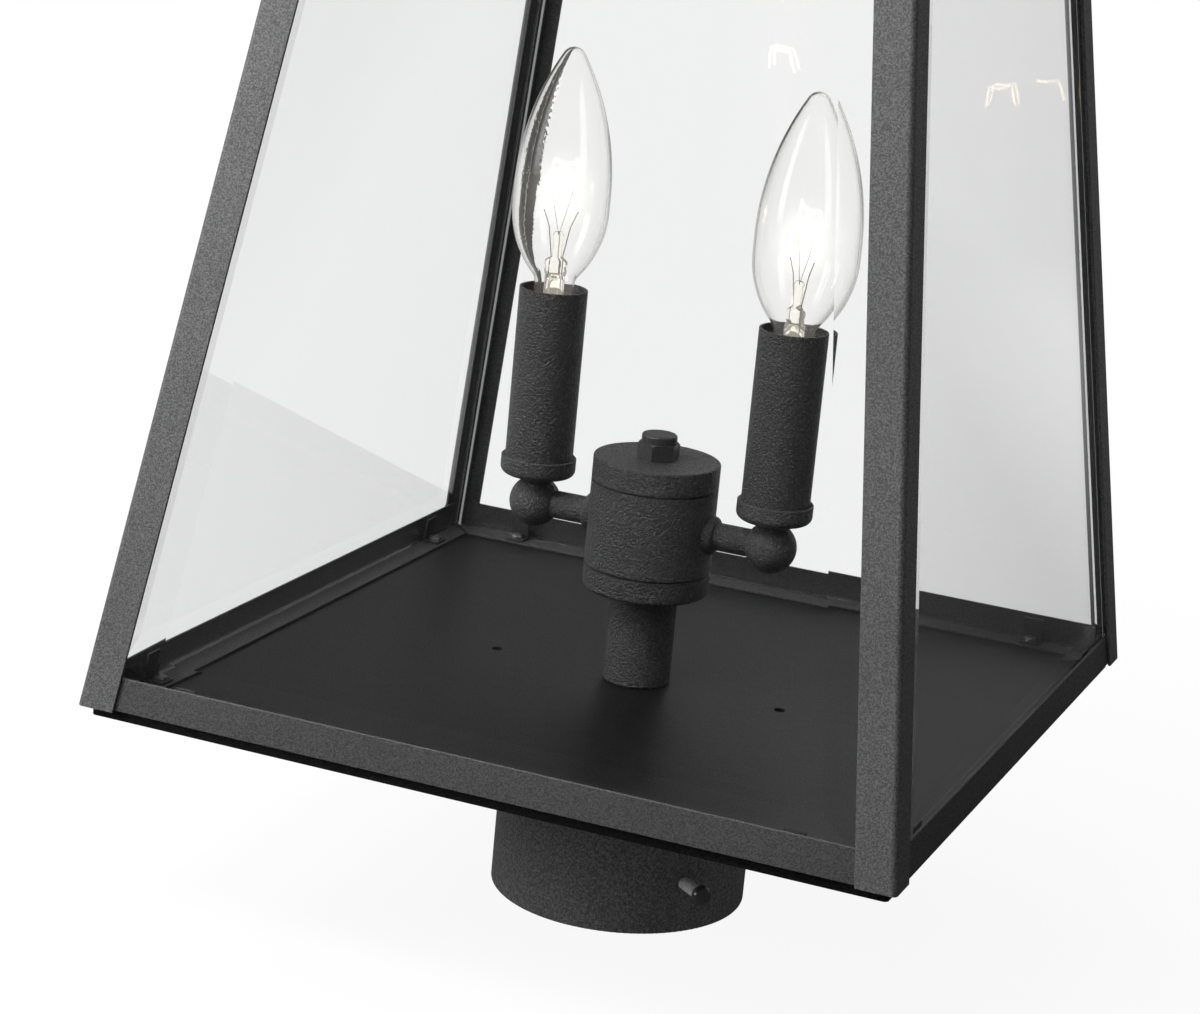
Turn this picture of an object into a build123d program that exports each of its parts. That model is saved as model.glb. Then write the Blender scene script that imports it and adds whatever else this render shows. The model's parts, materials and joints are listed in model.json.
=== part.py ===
from build123d import *
import math
import os

# Square post top lantern: leaning angle posts, four bevelled panes, a two-light candle cluster,
# a lift-off hood, and a round fitter that slips over the post. Millimetres, +Z up. The origin is
# the centre of the fitter's lower rim. Front is -Y, and the two arms lie along X.

os.makedirs("parts", exist_ok=True)

# ---------------------------------------------------------------- driving dimensions
# fitter and its set screws
fitter_bore = 77.2
fitter_wall = 2.3
fitter_height = 69.0
fitter_rim_round = 0.6
fitter_corner_round = 6.0       # inside, between the wall and the top plate
set_screw_count = 2
set_screw_turn = -39.0          # degrees from +X of the first screw
set_screw_height = 16.6
set_screw_diameter = 3.9
set_screw_reach = 10.0          # bare shank outside the wall
set_screw_head_diameter = 6.4
set_screw_head_height = 2.5
set_screw_slot = 0.8

# base pan
pan_sheet = 1.2
pan_inset = 3.15                # of the skirt behind the outer faces of the posts
pan_skirt = 3.6
pan_corner_round = 1.5
drain_spacing = 97.4
drain_diameter = 3.5

# corner posts
base_side = 254.0               # over the posts at their lower ends
top_side = 163.8                # over the posts at their upper ends
post_height = 320.0
post_flange = 12.0
post_sheet = 1.0
post_bend = 1.8
post_overhang = 0.5             # of the post ends past the rails

# rails between the posts
rail_sheet = 1.0
rail_height = 10.0
rail_flange = 12.6

# panes
glass = 4.0
glass_bevel = 15.0
glass_bevel_depth = 1.6
glass_play = 0.2
glass_corner_gap = 0.5

# clips and screws that hold the panes
clip_sheet = 0.8
clip_width = 6.7
clip_height = 8.3
clip_foot = 6.0
clip_from_corner = 32.0
clip_screw_diameter = 2.9
clip_screw_head_diameter = 4.4
clip_screw_head_height = 1.5
clip_screw_tail = 1.2

# stem and threaded rod
stem_diameter = 21.4
stem_wall = 1.6
stem_length = 30.2
nipple_diameter = 10.3
nipple_bore = 7.0
nipple_tail = 0.4               # below its lock nut
wire_hole_diameter = 4.6        # through the arms, and out of the nipple inside the hub
lock_nut_flats = 16.0
lock_nut_height = 4.0
lock_washer_diameter = 19.0
lock_washer_sheet = 1.0

# hub
hub_diameter = 40.0
hub_wall = 2.6
hub_cap_height = 7.7
hub_body_height = 27.1
hub_spigot = 2.0
hub_lower_round = 1.4
hub_upper_round = 0.7
hub_joint_chamfer = 0.35
cap_nut_flats = 11.8
cap_nut_turn = 34.0             # degrees about Z from a flat at the front
cap_nut_height = 5.2
cap_nut_corner = 0.6            # chamfer of its corners, above and below
cap_nut_boss_diameter = 11.2
cap_nut_boss_height = 2.7

# arms, cups and candle sleeves
arm_spacing = 80.0              # between the two candle axes
arm_diameter = 8.8
collar_diameter = 12.2
collar_length = 2.2
ball_diameter = 16.3
neck_diameter = 11.6
neck_height = 1.6
stub_diameter = 9.4
stub_height = 5.6
cup_diameter = 23.8
cup_height = 6.2
cup_wall = 1.1
cup_round = 2.4
sleeve_diameter = 21.5
sleeve_wall = 0.9
sleeve_length = 59.2

# lamp holders and bulbs
socket_diameter = 16.4
socket_length = 47.5
socket_well = 19.6
shell_wall = 0.35
bulb_base_diameter = 11.8
bulb_base_length = 17.0
bulb_diameter = 30.2
bulb_neck_diameter = 12.6
bulb_height = 80.8              # glass, from the base to the tip
bulb_neck_straight = 6.7        # above the base, where the shoulder starts
bulb_neck_fillet = 5.0
bulb_belly_low = 30.8           # above the base, the straight part of the belly
bulb_belly_high = 35.8
bulb_tip_round = 3.8
bulb_wall = 0.6
bulb_unscrewed_left = 2.7       # the left bulb stands a little higher than the right one
mount_diameter = 6.4
mount_height = 15.0
button_diameter = 2.4
button_height = 6.6
lead_diameter = 0.5
lead_spread = 7.4
lead_height = 9.5
filament_diameter = 1.0
filament_rise = 18.0

# upper frame, roof and knob
top_rail_height = 12.0
strap_width = 16.0
strap_sheet = 2.0
strap_end_margin = 5.0
strap_screw_diameter = 3.0
strap_screw_head_diameter = 5.4
strap_screw_head_height = 1.6
stud_diameter = 6.0
stud_nut_flats = 10.0
stud_nut_height = 4.0
roof_overhang = 19.0
roof_rise = 53.6                # from the eave to the flat
roof_sheet = 1.2
roof_lip = 8.0
roof_flat = 46.0                # side of the flat at the top
roof_cap_side = 56.0
roof_cap_edge = 4.0
roof_cap_rise = 9.0
roof_cap_flat = 26.0
knob_base_diameter = 22.0
knob_base_height = 4.0
knob_neck_diameter = 9.0
knob_neck_height = 5.0
knob_ball_diameter = 18.0

# clearances
thread_gap = 0.05               # radial, a screw in its own hole
slip_gap = 0.1                  # radial, a tube or rod in its hole
rest_gap = 0.3                  # between pieces that come apart
seat_gap = 0.1                  # between a pane or clip and what holds it

# ---------------------------------------------------------------- derived places
lean = (base_side - top_side) / 2 / post_height
floor_top = fitter_height + pan_sheet
post_foot = floor_top - post_overhang
post_top = post_foot + post_height
frame_top = post_top + post_overhang
slope = math.hypot(1.0, lean)
half_turns = {"front": 0, "right": 90, "back": 180, "left": 270}
sides = {"left": -1, "right": 1}

rail_ledge = floor_top + rail_sheet
top_ledge = frame_top - rail_sheet
mitre_gap = post_bend - post_sheet

fitter_plate = fitter_height - fitter_wall
nipple_foot = fitter_plate - lock_washer_sheet - lock_nut_height - nipple_tail
stem_top = floor_top + stem_length
hub_body_foot = stem_top + hub_cap_height
hub_body_top = hub_body_foot + hub_body_height
hub_top = hub_body_top + hub_cap_height
arm_axis = (hub_body_foot + hub_body_top) / 2
cup_foot = arm_axis + ball_diameter / 2 + 0.35 * neck_height
cup_floor = cup_foot + cup_wall
stub_top = cup_floor + stub_height
socket_top = stub_top + socket_length
shell_foot = socket_top - socket_well
sleeve_radius = sleeve_diameter / 2
shell_inner_radius = bulb_base_diameter / 2 + rest_gap
socket_bore_radius = shell_inner_radius + shell_wall + slip_gap
bulb_base_foot = shell_foot + shell_wall + rest_gap
strap_top = frame_top + strap_sheet


def half_at(height):
    """Half the side over the posts at this height."""
    return base_side / 2 - lean * (height - post_foot)


def rail_face(height):
    """Distance of the rails' outer faces from the middle."""
    return half_at(height) - post_sheet


def glass_face(height):
    """Distance of the panes' outer faces from the middle."""
    return rail_face(height) - rail_sheet - glass_play


def glass_back(height):
    """Distance of the panes' inner faces from the middle."""
    return glass_face(height) - glass * slope


def save(name, shape):
    """Write one node."""
    shape.label = name
    export_step(shape, f"parts/{name}.step")


def group(shapes):
    """Several separate solids as one node."""
    return Compound(children=list(shapes))


def turned(*outline):
    """Solid of revolution about Z from edges in radius and height."""
    profile = Plane.XZ * make_face(Wire(outline))
    return revolve(profile, Axis.Z)


def line(*points):
    """Open polyline edges."""
    return Polyline(*points).edges()


def disc(diameter, low, high):
    """Upright cylinder between two heights."""
    return Pos(0, 0, (low + high) / 2) * Cylinder(diameter / 2, high - low)


def tube(outer, inner, low, high):
    """Upright tube between two heights, from two diameters."""
    return disc(outer, low, high) - disc(inner, low, high)


def hexagon(flats, low, high):
    """Upright hexagonal block between two heights."""
    outline = RegularPolygon(flats / 2, 6, major_radius=False)
    return extrude(Pos(0, 0, low) * outline, high - low)


def rim(shape, low, high):
    """Edges of a turned piece that lie between two heights."""
    return shape.edges().filter_by(GeomType.CIRCLE).filter_by_position(Axis.Z, low, high)


def turned_to(shape, side):
    """The front piece turned to another side."""
    return Rot(0, 0, half_turns[side]) * shape


# ---------------------------------------------------------------- fitter and set screws
def screw_places():
    """Angles of the set screws about Z."""
    return [set_screw_turn + 360.0 * i / set_screw_count for i in range(set_screw_count)]


def make_fitter():
    """Drawn cup: its top plate is clamped under the pan by the lock nut."""
    outer = fitter_bore + 2 * fitter_wall
    shell = disc(outer, 0, fitter_height)
    shell = fillet(rim(shell, -0.01, 0.01), fitter_rim_round)
    shell = fillet(rim(shell, fitter_height - 0.01, fitter_height + 0.01), fitter_corner_round + fitter_wall)
    hollow = disc(fitter_bore, -1, fitter_plate)
    shell -= fillet(rim(hollow, fitter_plate - 0.01, fitter_plate + 0.01), fitter_corner_round)
    shell -= disc(nipple_diameter + 2 * slip_gap, 0, fitter_height + 1)
    hole = Cylinder(set_screw_diameter / 2 + thread_gap, outer, align=(Align.CENTER, Align.CENTER, Align.MIN))
    for angle in screw_places():
        shell -= Pos(0, 0, set_screw_height) * Rot(0, 0, angle) * Rot(0, 90, 0) * hole
    return shell


def make_set_screw(angle):
    """Cross-recess machine screw, its tip just inside the wall."""
    start = fitter_bore / 2 + slip_gap
    head_foot = fitter_bore / 2 + fitter_wall + set_screw_reach
    head_top = head_foot + set_screw_head_height
    head = fillet(
        rim(disc(set_screw_head_diameter, head_foot, head_top), head_top - 0.01, head_top + 0.01),
        0.3 * set_screw_head_height,
    )
    slot_depth = 0.5 * set_screw_head_height
    slot_length = 0.6 * set_screw_head_diameter
    for turn in (0, 90):
        slot = Box(slot_length, set_screw_slot, 2 * slot_depth)
        head -= Pos(0, 0, head_top) * Rot(0, 0, turn) * slot
    shank = disc(set_screw_diameter, start, head_foot)
    shank = chamfer(rim(shank, start - 0.01, start + 0.01), 0.12 * set_screw_diameter)
    screw = shank + head
    return Pos(0, 0, set_screw_height) * Rot(0, 0, angle) * Rot(0, 90, 0) * screw


# ---------------------------------------------------------------- base pan
def clip_seats(height):
    """Places along a side, and behind the pane, of the clip screws at a ledge."""
    along = half_at(height) - clip_from_corner
    inward = glass_back(height) - seat_gap - clip_sheet - (clip_foot - clip_sheet) / 2
    return [(-along, -inward), (along, -inward)]


def ledge_screw_holes(height, diameter, low, high):
    """Screw holes of the clips at one ledge, for the front side."""
    holes = []
    for along, inward in clip_seats(height):
        holes.append(Pos(along, inward, 0) * disc(diameter, low, high))
    return holes


def make_base_pan():
    side = base_side - 2 * pan_inset
    outline = fillet(Rectangle(side, side).vertices(), pan_corner_round)
    inner = offset(outline, amount=-pan_sheet)
    foot = floor_top - pan_skirt
    pan = extrude(Pos(0, 0, foot) * outline, pan_skirt)
    pan -= extrude(Pos(0, 0, foot) * inner, pan_skirt - pan_sheet)
    pan -= disc(nipple_diameter + 2 * slip_gap, foot, floor_top + 1)
    for sign in (-1, 1):
        pan -= Pos(sign * drain_spacing / 2, 0, 0) * disc(drain_diameter, foot, floor_top + 1)
    for side_name in half_turns:
        for hole in ledge_screw_holes(rail_ledge, clip_screw_diameter + 2 * thread_gap, foot, floor_top + 1):
            pan -= turned_to(hole, side_name)
    return pan


# ---------------------------------------------------------------- posts and rails
def make_post():
    """Angle post of the front left corner, sheared inwards as it rises."""
    half = base_side / 2
    corner = (-half, -half)
    inside = (-half + post_sheet, -half + post_sheet)
    outline = make_face(
        Polyline(
            corner,
            (-half + post_flange, -half),
            (-half + post_flange, -half + post_sheet),
            inside,
            (-half + post_sheet, -half + post_flange),
            (-half, -half + post_flange),
            close=True,
        )
    )
    outline = fillet(outline.vertices().sort_by_distance(corner)[0], post_bend)
    outline = fillet(outline.vertices().sort_by_distance(inside)[0], post_bend - post_sheet)
    length = post_height * math.sqrt(1 + 2 * lean * lean)
    return extrude(Pos(0, 0, post_foot) * outline, length, dir=(lean, lean, 1))


def mitre_wedge(low, high):
    """Quarter of the plan that belongs to the front side."""
    reach = base_side
    plan = Polygon(
        (0, -mitre_gap), (-reach, -mitre_gap - reach), (reach, -mitre_gap - reach), align=None
    )
    return extrude(Pos(0, 0, low) * plan, high - low)


def make_rail(low, high, flange_high):
    """Front angle rail: a leaning leg between two heights and a level flange at one of them."""
    level = high if flange_high else low
    ledge = level - rail_sheet if flange_high else level + rail_sheet
    far = high if not flange_high else low
    inner = rail_face(level) - rail_flange
    outline = [
        (-rail_face(level), level),
        (-rail_face(far), far),
        (-rail_face(far) + rail_sheet, far),
        (-rail_face(ledge) + rail_sheet, ledge),
        (-inner, ledge),
        (-inner, level),
    ]
    profile = Plane.YZ * make_face(Polyline(*outline, close=True))
    rail = extrude(profile, base_side / 2, both=True)
    rail &= mitre_wedge(low - 1, high + 1)
    ledge_height = top_ledge if flange_high else rail_ledge
    for hole in ledge_screw_holes(ledge_height, clip_screw_diameter + 2 * thread_gap, level - 2, level + 2):
        rail -= hole
    return rail


# ---------------------------------------------------------------- panes and clips
def make_pane():
    """Front pane: a trapezium of plate glass, bevelled outside on all four edges."""
    low = rail_ledge + glass * lean / slope + seat_gap
    high = top_ledge - seat_gap
    inset = half_at(0) - glass_back(0) + glass_corner_gap
    wide = half_at(low) - inset
    narrow = half_at(high) - inset
    length = (high - low) * slope
    outline = Polygon((-wide, 0), (wide, 0), (narrow, length), (-narrow, length), align=None)
    field = offset(outline, amount=-glass_bevel, kind=Kind.INTERSECTION)
    face = Plane(origin=(0, -glass_face(low), low), x_dir=(1, 0, 0), z_dir=(0, -1, lean))
    rear = face.offset(-glass_bevel_depth)
    slab = extrude(rear * outline, -(glass - glass_bevel_depth))
    bevel = loft([(rear * outline).face(), (face * field).face()], ruled=True)
    return slab + bevel


def make_clip(ledge, turned_down):
    """Clip of the front side: foot on a ledge, tab along the inner face of the pane."""
    way = -1 if turned_down else 1
    tip = ledge + way * clip_height
    bend = ledge + way * clip_sheet
    outline = [
        (-glass_back(ledge) + seat_gap, ledge),
        (-glass_back(tip) + seat_gap, tip),
        (-glass_back(tip) + seat_gap + clip_sheet, tip),
        (-glass_back(bend) + seat_gap + clip_sheet, bend),
        (-glass_back(ledge) + seat_gap + clip_foot, bend),
        (-glass_back(ledge) + seat_gap + clip_foot, ledge),
    ]
    profile = Plane.YZ * make_face(Polyline(*outline, close=True))
    return extrude(profile, clip_width / 2, both=True)


def make_clip_screw(ledge, turned_down):
    """Pan-head screw through a clip's foot, the rail's flange and, below, the pan."""
    way = -1 if turned_down else 1
    seat = ledge + way * clip_sheet
    crown = seat + way * clip_screw_head_height
    through = rail_sheet + (0 if turned_down else pan_sheet) + clip_screw_tail
    tail = ledge - way * through
    head = disc(clip_screw_head_diameter, min(seat, crown), max(seat, crown))
    head = chamfer(rim(head, crown - 0.01, crown + 0.01), 0.4 * clip_screw_head_height)
    return head + disc(clip_screw_diameter, min(seat, tail), max(seat, tail))


def make_clips_and_screws():
    """All the clips, and all their screws."""
    clips = []
    screws = []
    for ledge, turned_down in ((rail_ledge, False), (top_ledge, True)):
        clip = make_clip(ledge, turned_down)
        screw = make_clip_screw(ledge, turned_down)
        hole_low = min(ledge, ledge + (-1 if turned_down else 1) * clip_sheet) - 1
        for along, inward in clip_seats(ledge):
            hole = Pos(along, inward, 0) * disc(
                clip_screw_diameter + 2 * thread_gap, hole_low, hole_low + clip_sheet + 2
            )
            placed = Pos(along, 0, 0) * clip - hole
            fixed = Pos(along, inward, 0) * screw
            for side in half_turns:
                clips.append(turned_to(placed, side).solid())
                screws.append(turned_to(fixed, side).solid())
    return group(clips), group(screws)


# ---------------------------------------------------------------- stem and hub
def make_stem():
    stem = tube(stem_diameter, stem_diameter - 2 * stem_wall, floor_top, stem_top)
    foot = rim(stem, floor_top - 0.01, floor_top + 0.01).sort_by(SortBy.RADIUS)[-1]
    return chamfer(foot, 0.3 * stem_wall)


def make_nipple():
    top = hub_top + 0.6 * cap_nut_height
    rod = tube(nipple_diameter, nipple_bore, nipple_foot, top)
    cross = Cylinder(wire_hole_diameter / 2, 2 * nipple_diameter)
    return rod - Pos(0, 0, arm_axis) * Rot(0, 90, 0) * cross


def make_lock_nut():
    washer_foot = fitter_plate - lock_washer_sheet
    nut = hexagon(lock_nut_flats, washer_foot - lock_nut_height, washer_foot)
    nut += disc(lock_washer_diameter, washer_foot, fitter_plate)
    bore = disc(nipple_diameter + 2 * thread_gap, washer_foot - lock_nut_height - 1, fitter_plate + 1)
    return nut - bore


def make_hub_cap(is_top):
    """Turned end of the hub, with a spigot that enters the body."""
    low = hub_body_top if is_top else stem_top
    high = low + hub_cap_height
    joint = low if is_top else high
    rounded = high if is_top else low
    radius = hub_upper_round if is_top else hub_lower_round
    cap = disc(hub_diameter, low, high)
    cap = fillet(rim(cap, rounded - 0.01, rounded + 0.01), radius)
    cap = chamfer(rim(cap, joint - 0.01, joint + 0.01), hub_joint_chamfer)
    spigot = hub_diameter - 2 * hub_wall - 2 * slip_gap
    if is_top:
        cap += disc(spigot, joint - hub_spigot, joint)
    else:
        cap += disc(spigot, joint, joint + hub_spigot)
    return cap - disc(nipple_diameter + 2 * slip_gap, low - hub_spigot - 1, high + hub_spigot + 1)


def make_hub_body():
    body = disc(hub_diameter, hub_body_foot, hub_body_top)
    for joint in (hub_body_foot, hub_body_top):
        body = chamfer(rim(body, joint - 0.01, joint + 0.01), hub_joint_chamfer)
    body -= disc(hub_diameter - 2 * hub_wall, hub_body_foot - 1, hub_body_top + 1)
    cross = Cylinder(arm_diameter / 2 + slip_gap, 2 * hub_diameter)
    return body - Pos(0, 0, arm_axis) * Rot(0, 90, 0) * cross


def make_cap_nut():
    nut_top = hub_top + cap_nut_height
    boss_top = nut_top + cap_nut_boss_height
    corners = disc(2 * cap_nut_flats / math.sqrt(3), hub_top, nut_top)
    corners = chamfer(rim(corners, hub_top - 0.01, nut_top + 0.01), cap_nut_corner)
    nut = Rot(0, 0, cap_nut_turn) * hexagon(cap_nut_flats, hub_top, nut_top) & corners
    nut += disc(cap_nut_boss_diameter, nut_top, boss_top)
    nut = fillet(rim(nut, boss_top - 0.01, boss_top + 0.01), 0.3 * cap_nut_boss_height)
    return nut - disc(nipple_diameter + 2 * thread_gap, hub_top - 1, hub_top + 0.75 * cap_nut_height)


# ---------------------------------------------------------------- arms, cups and sleeves
def make_arm(sign):
    """Spigot, collar, arm, ball elbow, neck ring and threaded stub, cast in one."""
    spigot_start = hub_diameter / 2 - hub_wall - 1
    collar_start = 0.9 * hub_diameter / 2
    collar_end = hub_diameter / 2 + collar_length
    candle = arm_spacing / 2
    collar = disc(collar_diameter, collar_start, collar_end)
    collar = fillet(rim(collar, collar_end - 0.01, collar_end + 0.01), 0.75 * collar_length)
    collar = Rot(0, 90, 0) * collar
    collar -= Cylinder(hub_diameter / 2, 2 * collar_diameter)
    rod = Rot(0, 90, 0) * disc(arm_diameter, spigot_start, candle)
    ball = Pos(candle, 0, 0) * Sphere(ball_diameter / 2)
    neck_top = cup_foot - arm_axis
    neck = disc(neck_diameter, neck_top - neck_height, neck_top)
    neck = fillet(rim(neck, neck_top - 2 * neck_height, neck_top + 0.01), 0.3 * neck_height)
    stub = disc(stub_diameter, 0, stub_top - arm_axis)
    arm = collar + rod + ball + Pos(candle, 0, 0) * (neck + stub)
    arm -= Rot(0, 90, 0) * disc(wire_hole_diameter, spigot_start - 1, candle)
    arm -= Pos(candle, 0, 0) * disc(wire_hole_diameter, -wire_hole_diameter / 2, stub_top - arm_axis + 1)
    arm = Pos(0, 0, arm_axis) * arm
    return arm if sign > 0 else mirror(arm, Plane.YZ)


def make_cup():
    """Round-bottomed cup under a candle sleeve."""
    outer = cup_diameter / 2
    top = cup_foot + cup_height
    hole = stub_diameter / 2 + slip_gap
    well = sleeve_radius + slip_gap
    edges = line((hole, cup_floor), (hole, cup_foot), (outer - cup_round, cup_foot))
    edges += [RadiusArc((outer - cup_round, cup_foot), (outer, cup_foot + cup_round), -cup_round)]
    edges += line(
        (outer, cup_foot + cup_round),
        (outer, top - 0.4),
        (outer - 0.4, top),
        (well, top - 0.3),
        (well, cup_floor),
        (hole, cup_floor),
    )
    return turned(*edges)


def make_sleeve():
    return tube(sleeve_diameter, sleeve_diameter - 2 * sleeve_wall, cup_floor, cup_floor + sleeve_length)


# ---------------------------------------------------------------- lamp holders and bulbs
def make_socket():
    body = disc(socket_diameter, cup_floor + seat_gap, socket_top)
    body = fillet(rim(body, socket_top - 0.01, socket_top + 0.01), 0.8)
    body -= disc(stub_diameter + 2 * thread_gap, cup_floor - 1, stub_top)
    return body - disc(2 * socket_bore_radius, shell_foot, socket_top + 1)


def make_socket_shell():
    """Metal screw shell with the centre contact in its floor."""
    outer = 2 * (shell_inner_radius + shell_wall)
    high = bulb_base_foot + bulb_base_length - rest_gap
    shell = disc(outer, shell_foot, high)
    return shell - disc(2 * shell_inner_radius, shell_foot + shell_wall, high + 1)


def make_bulb_base(foot):
    """Screw shell of a bulb with its insulator and centre contact."""
    radius = bulb_base_diameter / 2
    ridge = 0.35
    pitch = 2.1
    skirt = 4.0
    threads = int((bulb_base_length - skirt - 3.0) / pitch)
    points = [(0, foot), (1.8, foot), (2.2, foot + 0.8), (radius - 1.6, foot + 2.2)]
    for i in range(threads):
        start = foot + 2.6 + i * pitch
        points += [(radius - ridge, start), (radius, start + pitch / 2)]
    top = foot + bulb_base_length
    points += [(radius - ridge, top - skirt), (radius - 0.1, top - skirt + 0.6), (radius - 0.1, top), (0, top)]
    return turned(*line(*points, (0, foot)))


def bulb_outline(foot, shrink):
    """Edges of the envelope's side, from the neck up to the axis, moved in by shrink."""
    neck = bulb_neck_diameter / 2
    belly = bulb_diameter / 2
    neck_top = foot + bulb_neck_straight
    belly_low = foot + bulb_belly_low
    belly_high = foot + bulb_belly_high
    # concave neck fillet and convex shoulder, tangent to each other, the neck and the belly
    rise = belly_low - neck_top
    step = belly - neck
    both = (rise * rise + step * step) / (2 * step)
    shoulder = both - bulb_neck_fillet
    share = shoulder / both
    meet = (
        belly - shoulder + (both - step) * share - shrink * (both - step) / both,
        belly_low - rise * share + shrink * rise / both,
    )
    # long convex side and small round tip, tangent to each other
    ball_height = foot + bulb_height - bulb_tip_round
    reach = ball_height - belly_high
    side = (belly**2 + reach**2 - bulb_tip_round**2) / (2 * (belly - bulb_tip_round))
    tip_round = bulb_tip_round - shrink
    lean_in = (side - belly) / (side - bulb_tip_round)
    leave = (tip_round * lean_in, ball_height + tip_round * reach / (side - bulb_tip_round))
    neck -= shrink
    belly -= shrink
    return [
        *line((neck, foot), (neck, neck_top)),
        RadiusArc((neck, neck_top), meet, bulb_neck_fillet + shrink),
        RadiusArc(meet, (belly, belly_low), shrink - shoulder),
        *line((belly, belly_low), (belly, belly_high)),
        RadiusArc((belly, belly_high), leave, shrink - side),
        RadiusArc(leave, (0, ball_height + tip_round), -tip_round),
    ]


def make_bulb_glass(foot):
    """Blown torpedo envelope, open at the neck."""
    tip = foot + bulb_height
    outer = turned(*bulb_outline(foot, 0), *line((0, tip), (0, foot), (bulb_neck_diameter / 2, foot)))
    inner_neck = bulb_neck_diameter / 2 - bulb_wall
    inner_tip = tip - bulb_wall
    inner = turned(*bulb_outline(foot, bulb_wall), *line((0, inner_tip), (0, foot), (inner_neck, foot)))
    return outer - inner


def make_mount(foot):
    """Glass stem inside the envelope: flare, tube, pinch and button rod."""
    flare = bulb_neck_diameter / 2 - bulb_wall - slip_gap
    tube_radius = mount_diameter / 2
    pinch = foot + mount_height
    button = pinch + button_height
    rod = button_diameter / 2
    points = [
        (0, foot),
        (flare, foot),
        (flare, foot + 0.8),
        (tube_radius, foot + 3.4),
        (tube_radius, pinch - 4.2),
        (0.82 * tube_radius, pinch - 3.4),
        (1.12 * tube_radius, pinch - 2.2),
        (1.05 * tube_radius, pinch - 0.6),
        (0.7 * tube_radius, pinch),
        (rod, pinch + 0.4),
        (rod, button - rod),
        (0.5 * rod, button),
        (0, button),
    ]
    return turned(*line(*points, (0, foot)))


def rod_between(start, end, diameter):
    """Straight wire between two points."""
    way = Vector(*end) - Vector(*start)
    return extrude(Plane(origin=start, z_dir=way) * Circle(diameter / 2), way.length)


def make_filament(foot):
    """Two lead wires and the coiled filament arched between their tips."""
    gap = 0.1
    start = foot + mount_height + 2 * gap
    tip = start + lead_height
    reach = lead_spread / 2
    inner = 0.45 * mount_diameter / 2 + gap
    arch_foot = tip + filament_diameter / 2
    path = ThreePointArc((-reach, 0, arch_foot), (0, 0, arch_foot + filament_rise), (reach, 0, arch_foot))
    coil = sweep(Plane(origin=path @ 0, z_dir=path % 0) * Circle(filament_diameter / 2), path)
    wires = [coil.solid()]
    for sign in (-1, 1):
        wires.append(rod_between((sign * (inner + 1.2), 0, start), (sign * reach, 0, tip), lead_diameter).solid())
    return group(wires)


# ---------------------------------------------------------------- upper frame and roof
def strap_hole_place():
    """Distance of the strap's screws from the middle."""
    return rail_face(frame_top) - 0.65 * rail_flange


def make_cross_strap():
    length = 2 * (rail_face(frame_top) - strap_end_margin)
    strap = Box(strap_width, length, strap_sheet, align=(Align.CENTER, Align.CENTER, Align.MIN))
    strap = Pos(0, 0, frame_top) * strap
    strap = fillet(strap.edges().filter_by(Axis.Z), 2.0)
    strap -= disc(stud_diameter + 2 * thread_gap, frame_top - 1, strap_top + 1)
    for sign in (-1, 1):
        hole = disc(strap_screw_diameter + 2 * thread_gap, frame_top - 1, strap_top + 1)
        strap -= Pos(0, sign * strap_hole_place(), 0) * hole
    return strap


def make_strap_screws():
    screws = []
    crown = strap_top + strap_screw_head_height
    head = disc(strap_screw_head_diameter, strap_top, crown)
    head = chamfer(rim(head, crown - 0.01, crown + 0.01), 0.4 * strap_screw_head_height)
    screw = head + disc(strap_screw_diameter, top_ledge - 2.0, strap_top)
    for sign in (-1, 1):
        screws.append((Pos(0, sign * strap_hole_place(), 0) * screw).solid())
    return group(screws)


def drilled_for_strap(rail):
    """The rail with the hole of the strap's screw."""
    hole = disc(strap_screw_diameter + 2 * thread_gap, top_ledge - 1, frame_top + 1)
    return rail - Pos(0, -strap_hole_place(), 0) * hole


def square_stack(*levels):
    """Ruled loft through level squares, each given by its half side and height."""
    faces = [(Pos(0, 0, height) * Rectangle(2 * half, 2 * half)).face() for half, height in levels]
    return loft(faces, ruled=True)


eave_half = half_at(frame_top) + roof_overhang
roof_flat_half = roof_flat / 2
roof_slope = roof_rise / (eave_half - roof_sheet - roof_flat_half)
roof_skew = math.hypot(1, roof_slope)
# the hood rests on the upper outer edges of the top rails
eave_run = eave_half - roof_sheet - rail_face(frame_top)
eave_inner = frame_top + rest_gap * roof_skew - roof_slope * eave_run
flat_inner = eave_inner + roof_rise
roof_top = flat_inner + roof_sheet
cap_top = roof_top + roof_cap_edge + roof_cap_rise
stud_top = cap_top + knob_base_height + knob_neck_height + 0.3 * knob_ball_diameter


def make_roof():
    """Pyramid hood of sheet with an upright lip round the eave and a small flat at the top."""
    lip_foot = eave_inner - roof_lip
    outer = square_stack(
        (eave_half, lip_foot),
        (eave_half, eave_inner + roof_sheet * (roof_skew - roof_slope)),
        (roof_flat_half + roof_sheet, roof_top),
    )
    inner = square_stack(
        (eave_half - roof_sheet, lip_foot),
        (eave_half - roof_sheet, eave_inner),
        (roof_flat_half, flat_inner),
    )
    roof = outer - inner
    return roof - disc(stud_diameter + 2 * rest_gap, flat_inner - 1, roof_top + 1)


def make_roof_cap():
    """Square cap over the tip of the hood."""
    half = roof_cap_side / 2
    edge_top = roof_top + roof_cap_edge
    cap = square_stack((half, roof_top), (half, edge_top), (roof_cap_flat / 2, cap_top))
    return cap - disc(stud_diameter + 2 * rest_gap, roof_top - 1, cap_top + 1)


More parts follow.
